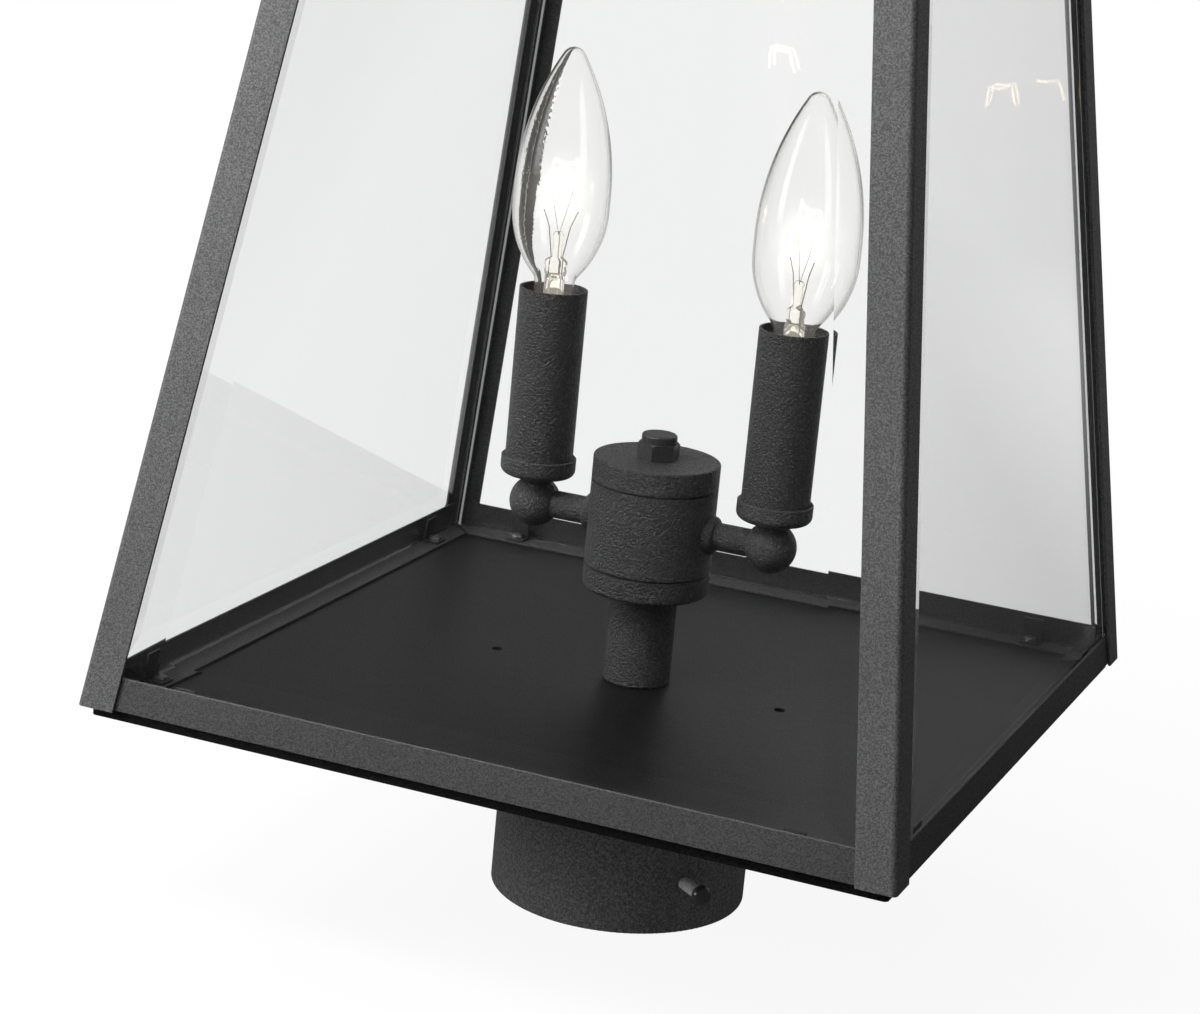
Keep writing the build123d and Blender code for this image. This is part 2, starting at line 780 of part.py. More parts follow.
def make_finial():
    """Turned knob with a threaded blind hole."""
    base = knob_base_diameter / 2
    neck = knob_neck_diameter / 2
    ball = knob_ball_diameter / 2
    foot = cap_top + rest_gap
    base_top = foot + knob_base_height
    neck_top = base_top + knob_neck_height
    middle = neck_top + math.sqrt(ball * ball - neck * neck)
    tip = middle + ball
    edges = line(
        (0, foot),
        (base, foot),
        (base, foot + 0.5 * knob_base_height),
        (neck, base_top),
        (neck, neck_top),
    )
    edges += [ThreePointArc((neck, neck_top), (ball, middle), (0, tip))]
    edges += line((0, tip), (0, foot))
    knob = turned(*edges)
    return knob - disc(stud_diameter + 2 * thread_gap, foot - 1, stud_top + 1)


def make_stud():
    return disc(stud_diameter, frame_top - stud_nut_height - 2, stud_top)


def make_stud_nuts():
    bore = disc(stud_diameter + 2 * thread_gap, frame_top - 2 * stud_nut_height, strap_top + 2 * stud_nut_height)
    lower = hexagon(stud_nut_flats, frame_top - stud_nut_height, frame_top) - bore
    upper = hexagon(stud_nut_flats, strap_top, strap_top + stud_nut_height) - bore
    return group([lower.solid(), upper.solid()])


# ---------------------------------------------------------------- write every node
save("fitter", make_fitter())
for number, angle in enumerate(screw_places(), start=1):
    save(f"set_screw_{number}", make_set_screw(angle))
save("base_pan", make_base_pan())

post = make_post()
post_names = {"front_left": 0, "front_right": 90, "back_right": 180, "back_left": 270}
for name, turn in post_names.items():
    save(f"post_{name}", Rot(0, 0, turn) * post)

bottom_rail = make_rail(floor_top, floor_top + rail_height, False)
top_rail = make_rail(frame_top - top_rail_height, frame_top, True)
pane = make_pane()
for side in half_turns:
    upper_rail = drilled_for_strap(top_rail) if side in ("front", "back") else top_rail
    save(f"bottom_rail_{side}", turned_to(bottom_rail, side))
    save(f"top_rail_{side}", turned_to(upper_rail, side))
    save(f"pane_{side}", turned_to(pane, side))

glass_clips, clip_screws = make_clips_and_screws()
save("glass_clips", glass_clips)
save("clip_screws", clip_screws)

save("stem", make_stem())
save("nipple", make_nipple())
save("stem_lock_nut", make_lock_nut())
save("hub_bottom_cap", make_hub_cap(False))
save("hub_body", make_hub_body())
save("hub_top_cap", make_hub_cap(True))
save("hub_cap_nut", make_cap_nut())

cup = make_cup()
sleeve = make_sleeve()
socket = make_socket()
socket_shell = make_socket_shell()
for side, sign in sides.items():
    candle = Pos(sign * arm_spacing / 2, 0, 0)
    base_foot = bulb_base_foot + (bulb_unscrewed_left if side == "left" else 0)
    glass_foot = base_foot + bulb_base_length
    save(f"arm_{side}", make_arm(sign))
    save(f"cup_{side}", candle * cup)
    save(f"sleeve_{side}", candle * sleeve)
    save(f"socket_{side}", candle * socket)
    save(f"socket_shell_{side}", candle * socket_shell)
    save(f"bulb_base_{side}", candle * make_bulb_base(base_foot))
    save(f"bulb_glass_{side}", candle * make_bulb_glass(glass_foot))
    save(f"bulb_mount_{side}", candle * make_mount(glass_foot))
    save(f"filament_{side}", candle * make_filament(glass_foot))

save("cross_strap", make_cross_strap())
save("strap_screws", make_strap_screws())
save("roof_stud", make_stud())
save("stud_nuts", make_stud_nuts())
save("roof", make_roof())
save("roof_cap", make_roof_cap())
save("finial", make_finial())
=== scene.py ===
# Looks of a square post top lantern: leaning bevelled panes, a two-light candle cluster and a
# lift-off hood. Metres, +Z up, front is -Y, the arms lie along X. Places come from the CAD frame.
import json
import logging
import math
from dataclasses import dataclass, replace
from enum import Enum
from typing import Any, Sequence

import bmesh
import bpy
from mathutils import Matrix, Vector

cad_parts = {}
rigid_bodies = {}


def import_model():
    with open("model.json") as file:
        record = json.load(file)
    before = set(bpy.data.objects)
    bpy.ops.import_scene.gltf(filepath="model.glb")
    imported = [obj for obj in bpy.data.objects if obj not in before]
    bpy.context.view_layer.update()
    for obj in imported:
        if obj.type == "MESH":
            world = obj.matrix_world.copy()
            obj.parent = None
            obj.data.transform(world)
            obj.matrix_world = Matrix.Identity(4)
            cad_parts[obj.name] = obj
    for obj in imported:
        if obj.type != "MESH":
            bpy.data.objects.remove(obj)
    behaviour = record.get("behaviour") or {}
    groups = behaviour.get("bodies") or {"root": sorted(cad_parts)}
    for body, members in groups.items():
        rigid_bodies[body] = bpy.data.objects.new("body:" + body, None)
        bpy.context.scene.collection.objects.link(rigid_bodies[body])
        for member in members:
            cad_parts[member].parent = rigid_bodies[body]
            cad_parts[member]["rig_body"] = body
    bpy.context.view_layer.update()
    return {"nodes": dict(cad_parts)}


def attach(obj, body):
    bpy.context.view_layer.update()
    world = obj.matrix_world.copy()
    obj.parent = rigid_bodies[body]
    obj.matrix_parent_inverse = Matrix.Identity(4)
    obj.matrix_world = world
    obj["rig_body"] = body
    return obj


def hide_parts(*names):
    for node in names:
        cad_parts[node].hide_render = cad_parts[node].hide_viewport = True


for leftover in list(bpy.data.objects):
    bpy.data.objects.remove(leftover)

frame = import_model()
log = logging.getLogger("lantern")

Node = bpy.types.Node
Piece = bpy.types.Object
Socket = bpy.types.NodeSocket
Pair = tuple[float, float]
Profile = Sequence[Pair]
Triple = tuple[float, float, float]
Ramp = tuple[float, float, float, float]

MM = 0.001
MERGE = 0.002 * MM
TOUCH = 0.0005 * MM
NEAR = 0.02 * MM
WHITE = (1.0, 1.0, 1.0, 1.0)
NOISE_SPAN = (0.3, 0.7)
# Shares of a screw head's radius and height, of its diameter and height, and of thread and pitch.
PAN_SIDE: Profile = ((0.0, 0.0), (1.0, 0.0), (1.0, 0.38), (0.9, 0.72), (0.62, 0.93), (0.0, 1.0))
SLOT_WIDTH, SLOT_LENGTH, SLOT_DEPTH = 0.17, 0.66, 0.5
THREAD_RIDGE: Profile = ((0.0, 0.0), (0.0, 0.15), (1.0, 0.5), (1.0, 0.65), (0.0, 1.0))


class Finish(Enum):
    """Finishes of the lantern: the material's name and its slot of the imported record."""

    CAGE = ("sandy black coat", "textured_black")
    # Darker copy of the sheet coat: painted shade on the bottom rails.
    RAIL = ("rail black coat with painted shade", "textured_black")
    HOOD = ("hood black coat", "textured_black")
    # Far darker copy of the sheet coat: painted shade on the pan inside the cage.
    PAN = ("pan black coat with painted shade", "textured_black")
    # Lighter copy of the sheet coat: painted light on the fitter.
    FITTER = ("fitter black coat with painted light", "textured_black")
    CLUSTER = ("cluster black coat", "satin_black")
    NUT = ("nut black coat", "satin_black")
    CANDLE = ("candle sleeve coat", "candle_black")
    CLIP = ("clip coat", "clip_black")
    PANE = ("bevelled plate glass", "pane_glass")
    # Next: a ground edge with a painted glow, and an edge painted near black as painted shade.
    PANE_EDGE = ("ground glass edge with painted glow", "pane_glass")
    SHADED_EDGE = ("glass edge with painted shade", "pane_glass")
    # The bulb and stem glass finishes carry a painted glow.
    BULB_LEFT = ("left bulb glass with painted glow", "bulb_glass")
    BULB_RIGHT = ("right bulb glass with painted glow", "bulb_glass")
    MOUNT = ("bulb stem glass with painted glow", "bulb_glass")
    FILAMENT = ("lit tungsten", "filament")
    LEAD = ("nickel lead wire", "filament")
    SHELL = ("socket shell brass", "shell_brass")
    BRASS = ("rolled cap brass", "bulb_brass")
    MOULDING = ("socket moulding", "socket_moulding")
    SCREW = ("bright zinc", "screw_steel")
    SCREW_HEAD = ("blackened head", "screw_steel")
    ZINC = ("dull zinc", "zinc_steel")
    THREADED = ("threaded zinc", "zinc_steel")
    CONTACT = ("tinned contact", "zinc_steel")


# ---- finishes
class Nodes:
    """Writes the nodes of one tree."""

    def __init__(self, tree: bpy.types.NodeTree, output: Node) -> None:
        """Keeps the tree and its output node."""
        self.tree = tree
        self.output = output

    def add(self, kind: str, feeds: dict[Any, Any] | None = None, **settings: Any) -> Node:
        """Adds a node.

        Args:
            kind: Node type without its ShaderNode prefix.
            feeds: Values or sockets for its inputs, by name or number.
            settings: Attributes of the node.

        Returns:
            The new node.
        """
        node = self.tree.nodes.new("ShaderNode" + kind)
        for key, value in settings.items():
            setattr(node, key, value)
        for key, value in (feeds or {}).items():
            self.feed(node.inputs[key], value)
        return node

    def feed(self, socket: Socket, value: Any) -> None:
        """Sets or links one input.

        Args:
            socket: The input.
            value: A constant, or the output that feeds it.
        """
        if isinstance(value, Socket):
            self.tree.links.new(value, socket)
        else:
            socket.default_value = value

    def place(self) -> Socket:
        """Returns the object coordinates."""
        return self.add("TexCoord").outputs["Object"]

    def split(self, vector: Socket) -> tuple[Socket, Socket, Socket]:
        """Returns the X, Y and Z of a vector."""
        return tuple(self.add("SeparateXYZ", {0: vector}).outputs)

    def noise(self, scale: float, detail: float = 2.0, rough: float = 0.5) -> Socket:
        """Adds object-space noise around 0.5, its scale in features for each metre."""
        feeds = {"Vector": self.place(), "Scale": scale, "Detail": detail, "Roughness": rough}
        return self.add("TexNoise", feeds).outputs["Fac"]

    def bands(self, scale: float) -> Socket:
        """Adds bands from 0 to 1 across Z, so many for each 0.1 pi metres."""
        feeds = {"Vector": self.place(), "Scale": scale}
        return self.add("TexWave", feeds, bands_direction="Z").outputs["Fac"]

    def spread(self, value: Any, low: float, high: float, to_low: float, to_high: float) -> Socket:
        """Maps a value so that low becomes to_low and high becomes to_high."""
        feeds = {"From Min": low, "From Max": high, "To Min": to_low, "To Max": to_high}
        return self.add("MapRange", {"Value": value, **feeds}).outputs["Result"]

    def product(self, first: Any, second: Any, operation: str = "MULTIPLY") -> Socket:
        """Combines two sockets or numbers by a Math operation."""
        return self.add("Math", {0: first, 1: second}, operation=operation).outputs[0]

    def blend(self, share: Any, first: Any, second: Any) -> Socket:
        """Blends two sockets or numbers by the share of the second."""
        return self.add("Mix", {0: share, 2: first, 3: second}).outputs[0]

    def tinted(self, value: Any, colour: Sequence[float]) -> Socket:
        """Scales a colour by a number's socket."""
        node = self.add("VectorMath", {0: tuple(colour), "Scale": value}, operation="SCALE")
        return node.outputs["Vector"]

    def bump(self, height: Any, depth: float, strength: float, under: Any = None) -> Socket:
        """Raises the surface by a pattern.

        Args:
            height: The pattern's socket.
            depth: Metres for a change of 1.
            strength: Share of the effect.
            under: A normal to start from.

        Returns:
            The bumped normal.
        """
        feeds = {"Height": height, "Distance": depth, "Strength": strength}
        if under is not None:
            feeds["Normal"] = under
        return self.add("Bump", feeds).outputs["Normal"]

    def mirrored(self, rays: Node) -> Socket:
        """Returns 1 for a ray that a shiny surface has sent on, otherwise 0."""
        return self.product(rays.outputs["Glossy Depth"], 0.5, "GREATER_THAN")

    def seen(self, rays: Node) -> Socket:
        """Tells the rays that the eye sends straight or through glass.

        Args:
            rays: The Light Path node.

        Returns:
            1 for such a ray, otherwise 0.
        """
        bounced = self.product(rays.outputs["Glossy Depth"], rays.outputs["Diffuse Depth"], "ADD")
        straight = self.product(bounced, 0.5, "LESS_THAN")
        through = self.product(rays.outputs["Is Transmission Ray"], straight)
        return self.product(rays.outputs["Is Camera Ray"], through, "MAXIMUM")


class Shader(Nodes):
    """Writes the nodes of one material."""

    def __init__(self, name: str = "finish") -> None:
        """Starts a material with a Principled shader.

        Args:
            name: Name of the material.
        """
        self.material = bpy.data.materials.new(name)
        self.material.use_nodes = True
        tree = self.material.node_tree
        self.principled = tree.nodes["Principled BSDF"]
        super().__init__(tree, tree.nodes["Material Output"])

    def surface(self, **feeds: Any) -> None:
        """Sets inputs of the Principled shader, with _ for spaces in their names."""
        for key, value in feeds.items():
            self.feed(self.principled.inputs[key.replace("_", " ")], value)


@dataclass(frozen=True)
class PowderCoat:
    """Sandy black powder coat on metal. Clouds and pebbles are counted for each metre."""

    tone: float
    tint: Triple = (1.0, 1.0, 1.015)
    grain: float = 0.62 * MM
    depth: float = 0.16 * MM
    contrast: float = 0.4
    rough_low: float = 0.46
    rough_high: float = 0.68
    specular: float = 0.32
    grain_span: Pair = (0.4, 0.62)
    painted_glint: float = 1.7
    painted_glint_span: Pair = (0.6, 0.74)
    cloud: float = 26.0
    cloud_tones: Pair = (0.93, 1.07)
    pebble: float = 190.0
    pebble_depth: float = 0.12 * MM

    def build(self) -> bpy.types.Material:
        """Returns the finish: pebbled grain, painted glint specks and slow tone changes."""
        s = Shader()
        grain = s.noise(1.0 / self.grain, rough=0.6)
        specks = s.noise(2.3 / self.grain, detail=1.0)
        cloud = s.noise(self.cloud, detail=3.0, rough=0.55)
        pebble = s.noise(self.pebble)
        base = s.spread(grain, *self.grain_span, 1.0 - self.contrast, 1.0 + self.contrast)
        # Painted glints: sparse specks lighten the colour in place of the coat's tiny highlights.
        light = s.spread(specks, *self.painted_glint_span, 1.0, self.painted_glint)
        slow = s.spread(cloud, *NOISE_SPAN, *self.cloud_tones)
        tone = s.product(s.product(s.product(base, light), slow), self.tone)
        rough = s.spread(grain, *NOISE_SPAN, self.rough_high, self.rough_low)
        under = s.bump(pebble, self.pebble_depth, 0.5)
        s.surface(
            Base_Color=s.tinted(tone, self.tint),
            Roughness=rough,
            Specular_IOR_Level=self.specular,
            Normal=s.bump(grain, self.depth, 0.8, under),
        )
        return s.material


@dataclass(frozen=True)
class ClearGlass:
    """Clear glass: plate or blown."""

    tint: Triple
    ior: float
    wave: float = 14.0
    depth: float = 0.06 * MM
    lamp_tint: float = 0.97
    # Painted glow on the glass, which is no lamp: an even glow and a bloom round the filament.
    painted_haze: float = 0.0
    glow: float = 0.0
    glow_height: float = 0.0
    glow_reach: float = 7.5 * MM
    glow_focus: float = 14.0
    glow_colour: Triple = (1.0, 0.94, 0.82)

    def lit(self, s: Shader) -> None:
        """Paints a glow on the glass itself: an even glow and a soft bloom round the filament's
        height.

        Args:
            s: The shader that is written.
        """
        height = s.split(s.place())[2]
        above = s.product(height, self.glow_height, "SUBTRACT")
        offset = s.product(above, self.glow_reach, "DIVIDE")
        fade = s.product(math.e, s.product(s.product(offset, offset), -1.0), "POWER")
        facing = s.product(1.0, s.add("LayerWeight", {"Blend": 0.5}).outputs["Facing"], "SUBTRACT")
        # Painted glow: brightest round the filament's height and where the glass faces the eye.
        painted_bloom = s.product(s.product(facing, self.glow_focus, "POWER"), self.glow)
        painted_glow = s.product(s.product(painted_bloom, fade), self.painted_haze, "ADD")
        s.surface(Emission_Color=(*self.glow_colour, 1.0), Emission_Strength=painted_glow)

    def build(self) -> bpy.types.Material:
        """Returns the finish, which lets lamps and diffuse light through and is faintly wavy."""
        s = Shader()
        if self.painted_haze:
            self.lit(s)
        s.surface(
            Base_Color=(*self.tint, 1.0),
            Roughness=0.0,
            IOR=self.ior,
            Transmission_Weight=1.0,
            Normal=s.bump(s.noise(self.wave, 1.0, 0.4), self.depth, 0.35),
        )
        rays = s.add("LightPath")
        soft = s.product(rays.outputs["Is Shadow Ray"], rays.outputs["Is Diffuse Ray"], "MAXIMUM")
        clear = s.add("BsdfTransparent", {"Color": (self.lamp_tint,) * 3 + (1.0,)})
        mix = s.add("MixShader", {0: soft, 1: s.principled.outputs[0], 2: clear.outputs[0]})
        s.feed(s.output.inputs["Surface"], mix.outputs[0])
        return s.material


@dataclass(frozen=True)
class LitTungsten:
    """Glowing tungsten coil."""

    strength: float
    turns: float = 900.0
    metal: Triple = (0.9, 0.75, 0.5)
    glow: Triple = (1.0, 0.78, 0.46)

    def build(self) -> bpy.types.Material:
        """Returns the finish, with the turns of the coil in its brightness."""
        s = Shader()
        turns = s.spread(s.bands(self.turns), 0.0, 1.0, 0.7, 1.0)
        s.surface(
            Base_Color=s.tinted(turns, self.metal),
            Roughness=0.5,
            Emission_Color=(*self.glow, 1.0),
            Emission_Strength=self.strength,
        )
        return s.material


@dataclass(frozen=True)
class PlatedMetal:
    """Plated or rolled metal with fine wear."""

    colour: Triple
    rough: float
    pitch: float = 0.0
    metallic: float = 1.0
    scratch: float = 0.2
    lines: float = 2600.0
    line_depth: float = 0.02 * MM
    stain: float = 240.0
    stain_tones: Pair = (0.86, 1.04)

    def build(self) -> bpy.types.Material:
        """Returns the finish: drawn lines round the piece, fine pitting and slow tarnish."""
        s = Shader()
        lines = s.noise(self.lines, rough=0.6)
        stain = s.noise(self.stain, detail=3.0, rough=0.6)
        worn = s.spread(lines, *NOISE_SPAN, 1.0 - self.scratch, 1.0 + 0.4 * self.scratch)
        tone = s.product(worn, s.spread(stain, *NOISE_SPAN, *self.stain_tones))
        relief = s.bump(lines, self.line_depth, 0.4)
        if self.pitch:
            thread = s.bands(0.1 * math.pi / self.pitch)
            relief = s.bump(thread, 0.4 * self.pitch, 1.0, relief)
        s.surface(
            Base_Color=s.tinted(tone, self.colour),
            Metallic=self.metallic,
            Roughness=s.spread(stain, *NOISE_SPAN, self.rough * 0.8, self.rough * 1.35),
            Normal=relief,
        )
        return s.material


@dataclass(frozen=True)
class Matt:
    """Moulded resin, or a ground glass edge with its wheel marks and a painted glow for the light
    that it pipes.
    """

    tint: Triple
    marks: float
    tones: Pair
    roughs: Pair
    depth: float
    detail: float = 2.0
    painted_edge_glow: float = 0.0

    def build(self) -> bpy.types.Material:
        """Returns the finish, with its marks in tone, roughness and relief."""
        s = Shader()
        marks = s.noise(self.marks, self.detail, 0.6)
        s.surface(
            Base_Color=s.tinted(s.spread(marks, *NOISE_SPAN, *self.tones), self.tint),
            Roughness=s.spread(marks, *NOISE_SPAN, *self.roughs),
            Normal=s.bump(marks, self.depth, 0.5),
            Emission_Color=(*self.tint, 1.0),
            Emission_Strength=self.painted_edge_glow,
        )
        return s.material


def all_finishes() -> dict[Finish, bpy.types.Material]:
    """Returns every finish of the lantern, built once."""
    sheet = PowderCoat(0.082, grain=0.56 * MM, contrast=0.36)
    cast = PowderCoat(
        0.053, tint=(1.0, 1.0, 1.01), grain=0.72 * MM, depth=1.3 * MM, contrast=0.45,
        rough_low=0.34, rough_high=0.54, specular=0.68, painted_glint=3.2,
    )
    # Bulb glass with a painted glow: an even glow and a bloom round each filament.
    bulb = ClearGlass(
        (0.998, 0.998, 0.996), 1.36, wave=60.0, depth=0.04 * MM, painted_haze=0.018, glow=0.15
    )
    # The ground edge has a painted glow; its dark copy paints other panes' upright edges near black
    # as painted shade.
    edge = Matt((0.97, 1.0, 0.99), 900.0, (0.6375, 0.75), (0.4, 0.65), 0.03 * MM, painted_edge_glow=0.22)
    coats = {
        Finish.CAGE: sheet,
        Finish.HOOD: replace(sheet, tone=0.04),
        # The bottom rails get a darker copy of the sheet coat: painted shade for the dimmer light
        # on them.
        Finish.RAIL: replace(sheet, tone=0.046),
        # The pan gets a far darker copy of the sheet coat: painted shade for the dim inside of the
        # cage.
        Finish.PAN: PowderCoat(
            0.008, grain=0.6 * MM, contrast=0.7, rough_low=0.3, rough_high=0.46
        ),
        Finish.CLUSTER: cast,
        # The fitter gets a lighter copy of the black coat: painted light for the light under the
        # pan.
        Finish.FITTER: replace(
            cast, tone=0.12, grain=0.8 * MM, depth=1.0 * MM, contrast=0.36,
            rough_low=0.4, rough_high=0.58, specular=0.45, painted_glint=2.4,
        ),
        Finish.CANDLE: replace(cast, tone=0.044, specular=0.62),
        Finish.NUT: PowderCoat(
            0.05, grain=0.5 * MM, depth=0.04 * MM, contrast=0.3,
            rough_low=0.3, rough_high=0.45, specular=0.5,
        ),
        Finish.CLIP: PowderCoat(0.03, grain=0.5 * MM, depth=0.08 * MM, rough_low=0.4),
        # Panes pass far less lamp light than clear glass: painted shade on the inside of the cage.
        Finish.PANE: ClearGlass((0.995, 0.998, 0.997), 1.45, lamp_tint=0.76),
        Finish.PANE_EDGE: edge,
        Finish.SHADED_EDGE: replace(edge, tones=(0.034, 0.04), painted_edge_glow=0.0),
        Finish.BULB_LEFT: replace(bulb, glow_height=220.5 * MM),
        Finish.BULB_RIGHT: replace(bulb, glow_height=217.5 * MM),
        # Stem glass with a painted glow; its warm tint is painted light from the filament.
        Finish.MOUNT: ClearGlass(
            (0.99, 0.97, 0.93), 1.42, wave=400.0, depth=0.3 * MM, lamp_tint=0.95, painted_haze=0.07
        ),
        Finish.FILAMENT: LitTungsten(14.0),
        Finish.LEAD: PlatedMetal((0.42, 0.4, 0.37), 0.35),
        Finish.SHELL: PlatedMetal((0.62, 0.46, 0.2), 0.34),
        Finish.BRASS: PlatedMetal((0.72, 0.6, 0.34), 0.28),
        Finish.MOULDING: Matt(
            (0.035, 0.032, 0.03), 420.0, (0.8, 1.2), (0.45, 0.65), 0.05 * MM, detail=3.0
        ),
        Finish.SCREW: PlatedMetal((0.85, 0.85, 0.86), 0.3, metallic=0.1),
        Finish.SCREW_HEAD: PlatedMetal((0.15, 0.15, 0.153), 0.3, metallic=0.5),
        Finish.ZINC: PlatedMetal((0.4, 0.4, 0.41), 0.42),
        Finish.THREADED: PlatedMetal((0.42, 0.42, 0.43), 0.4, pitch=1.0 * MM),
        Finish.CONTACT: PlatedMetal((0.6, 0.6, 0.6), 0.5),
    }
    made = {finish: coat.build() for finish, coat in coats.items()}
    for finish, material in made.items():
        material.name = finish.value[0]
    return made


# ---- the bench
def aimed(place: Sequence[float], way: Sequence[float]) -> Matrix:
    """Returns the seat at a place whose Z looks along a direction."""
    return Matrix.Translation(place) @ Vector(way).to_track_quat("Z", "Y").to_matrix().to_4x4()


def upright(place: Sequence[float], angle: float = 0.0) -> Matrix:
    """Returns the seat at a place, turned round Z by so many radians."""
    return Matrix.Translation(place) @ Matrix.Rotation(angle, 4, "Z")


def in_mm(profile: Profile, base: float = 0.0) -> Profile:
    """Returns a profile of millimetres in metres, from a height up."""
    return [(radius * MM, base + height * MM) for radius, height in profile]


def linked(name: str, data: bpy.types.ID) -> Piece:
    """Returns a new object in the scene."""
    obj = bpy.data.objects.new(name, data)
    bpy.context.scene.collection.objects.link(obj)
    return obj


class Blank:
    """A piece of stock, shaped by turning, threading and wire drawing."""

    coil_sides: int = 6
    coil_segments: int = 10
    head_segments: int = 28
    thread_segments: int = 20
    crown_slope: float = 0.4

    def __init__(self) -> None:
        """Starts with no stock."""
        self.bm = bmesh.new()

    def swept(self, geom: Sequence[Any], turns: float, rise: float, segments: int) -> None:
        """Spins geometry round Z.

        Args:
            geom: What is spun.
            turns: Number of turns.
            rise: Height gained in each turn.
            segments: Steps in each turn.
        """
        bmesh.ops.spin(
            self.bm, geom=geom, axis=(0.0, 0.0, 1.0), cent=(0.0, 0.0, 0.0),
            dvec=(0.0, 0.0, rise / segments), angle=math.tau * turns,
            steps=round(segments * turns), use_merge=not rise,
        )

    def turned(
        self, profile: Profile, segments: int, turns: float = 1.0, rise: float = 0.0
    ) -> "Blank":
        """Spins a profile round Z.

        Args:
            profile: Radii and heights of its corners, from one end to the other.
            segments: Steps in each turn.
            turns: Number of turns.
            rise: Height gained in each turn.

        Returns:
            This blank.
        """
        old = set(self.bm.verts)
        verts = [self.bm.verts.new((radius, 0.0, height)) for radius, height in profile]
        edges = [self.bm.edges.new(pair) for pair in zip(verts, verts[1:])]
        self.swept(verts + edges, turns, rise, segments)
        made = [v for v in self.bm.verts if v not in old]
        bmesh.ops.remove_doubles(self.bm, verts=made, dist=MERGE)
        return self

    def threaded(self, ridge: Profile, turns: float, segments: int) -> "Blank":
        """Winds a ridge, one pitch tall, up Z into a thread with closed ends.

        Args:
            ridge: Radii and heights of the ridge.
            turns: Number of turns.
            segments: Steps in each turn.

        Returns:
            This blank.
        """
        self.turned(ridge, segments, turns, ridge[-1][1] - ridge[0][1])
        bmesh.ops.holes_fill(self.bm, edges=[e for e in self.bm.edges if e.is_boundary], sides=0)
        return self

    def wire(self, line: Sequence[Vector], diameter: float, segments: int = 10) -> "Blank":
        """Draws a wire through points.

        Args:
            line: The points.
            diameter: Its diameter.
            segments: Sides of its section.

        Returns:
            This blank.
        """
        ends = [line[0], *line, line[-1]]
        seats = [aimed(ends[i + 1], ends[i + 2] - ends[i]) for i in range(len(line))]
        ring = bmesh.ops.create_circle(
            self.bm, cap_ends=True, segments=segments, radius=diameter / 2, matrix=seats[0]
        )
        face = ring["verts"][0].link_faces[0]
        for seat, following in zip(seats, seats[1:]):
            grown = bmesh.ops.extrude_face_region(self.bm, geom=[face])["geom"]
            face = next(part for part in grown if isinstance(part, bmesh.types.BMFace))
            bmesh.ops.transform(self.bm, matrix=following @ seat.inverted(), verts=face.verts)
        return self

    def coil(
        self, start: Vector, end: Vector, diameter: float, wire: float, pitch: float
    ) -> "Blank":
        """Winds a fine coil between two points.

        Args:
            start: One end of its axis.
            end: The other end.
            diameter: Mean diameter of the turns.
            wire: Diameter of the wire.
            pitch: Rise in each turn.

        Returns:
            This blank.
        """
        winding = Blank()
        length = (end - start).length
        side = aimed((diameter / 2, 0.0, 0.0), (0.0, 1.0, 0.0))
        ring = bmesh.ops.create_circle(
            winding.bm, cap_ends=True, segments=self.coil_sides, radius=wire / 2, matrix=side
        )
        turns = round(self.coil_segments * length / pitch) / self.coil_segments
        face = ring["verts"][0].link_faces[0]
        winding.swept([face], turns, length / turns, self.coil_segments)
        return self.add(winding, [aimed(start, end - start)])

    def crossed(self, width: float, length: float, depth: float) -> "Blank":
        """Presses a cross recess in the top of a turned head.

        Args:
            width: Width of each slot.
            length: Length of each slot.
            depth: Depth of the recess.

        Returns:
            This blank.
        """
        for way in (Vector((1.0, 0.0, 0.0)), Vector((0.0, 1.0, 0.0))):
            for offset in (-length / 2, -width / 2, width / 2, length / 2):
                stock = [*self.bm.verts, *self.bm.edges, *self.bm.faces]
                bmesh.ops.bisect_plane(
                    self.bm, geom=stock, dist=TOUCH, plane_co=way * offset, plane_no=way
                )
        self.bm.normal_update()
        slot = []
        for face in self.bm.faces:
            middle = face.calc_center_median()
            spans = sorted((abs(middle.x), abs(middle.y)))
            inside = spans[0] < width / 2 and spans[1] < length / 2
            if inside and face.normal.z > self.crown_slope:
                slot.append(face)
        grown = bmesh.ops.extrude_face_region(self.bm, geom=slot)["geom"]
        sunk = [part for part in grown if isinstance(part, bmesh.types.BMVert)]
        bmesh.ops.translate(self.bm, vec=(0.0, 0.0, -depth), verts=sunk)
        return self

    def add(self, other: "Blank", seats: Sequence[Matrix]) -> "Blank":
        """Sets copies of another blank on this one.

        Args:
            other: The blank to copy, its faces turned outwards first.
            seats: The place of each copy.

        Returns:
            This blank.
        """
        bmesh.ops.recalc_face_normals(other.bm, faces=other.bm.faces)
        for seat in seats:
            copy = bpy.data.meshes.new("copy")
            other.bm.to_mesh(copy)
            copy.transform(seat)
            self.bm.from_mesh(copy)
            bpy.data.meshes.remove(copy)
        return self


def pan_head(diameter: float, height: float) -> Blank:
    """Returns a cross-recess pan head, its seat at the origin."""
    side = [(out * diameter / 2, up * height) for out, up in PAN_SIDE]
    head = Blank().turned(side, Blank.head_segments)
    return head.crossed(SLOT_WIDTH * diameter, SLOT_LENGTH * diameter, SLOT_DEPTH * height)


def screw_thread(diameter: float, length: float, pitch: float) -> Blank:
    """Returns a threaded shank from the origin up."""
    root = 0.5 * (diameter - pitch)
    ridge = [(root + 0.5 * out * pitch, up * pitch) for out, up in THREAD_RIDGE]
    return Blank().threaded(ridge, length / pitch - 1.0, Blank.thread_segments)


@dataclass(frozen=True)
class PanScrew:
    """Cross-recess pan-head screw, by the diameter and height of its head and its shank."""

    head: float
    height: float
    shank: float
    pitch: float = 0.5 * MM

    def made(self, length: float) -> Blank:
        """Returns the screw with its seat at the origin and its head up."""
        shank = screw_thread(self.shank, length, self.pitch)
        return pan_head(self.head, self.height).add(shank, [upright((0.0, 0.0, -length))])


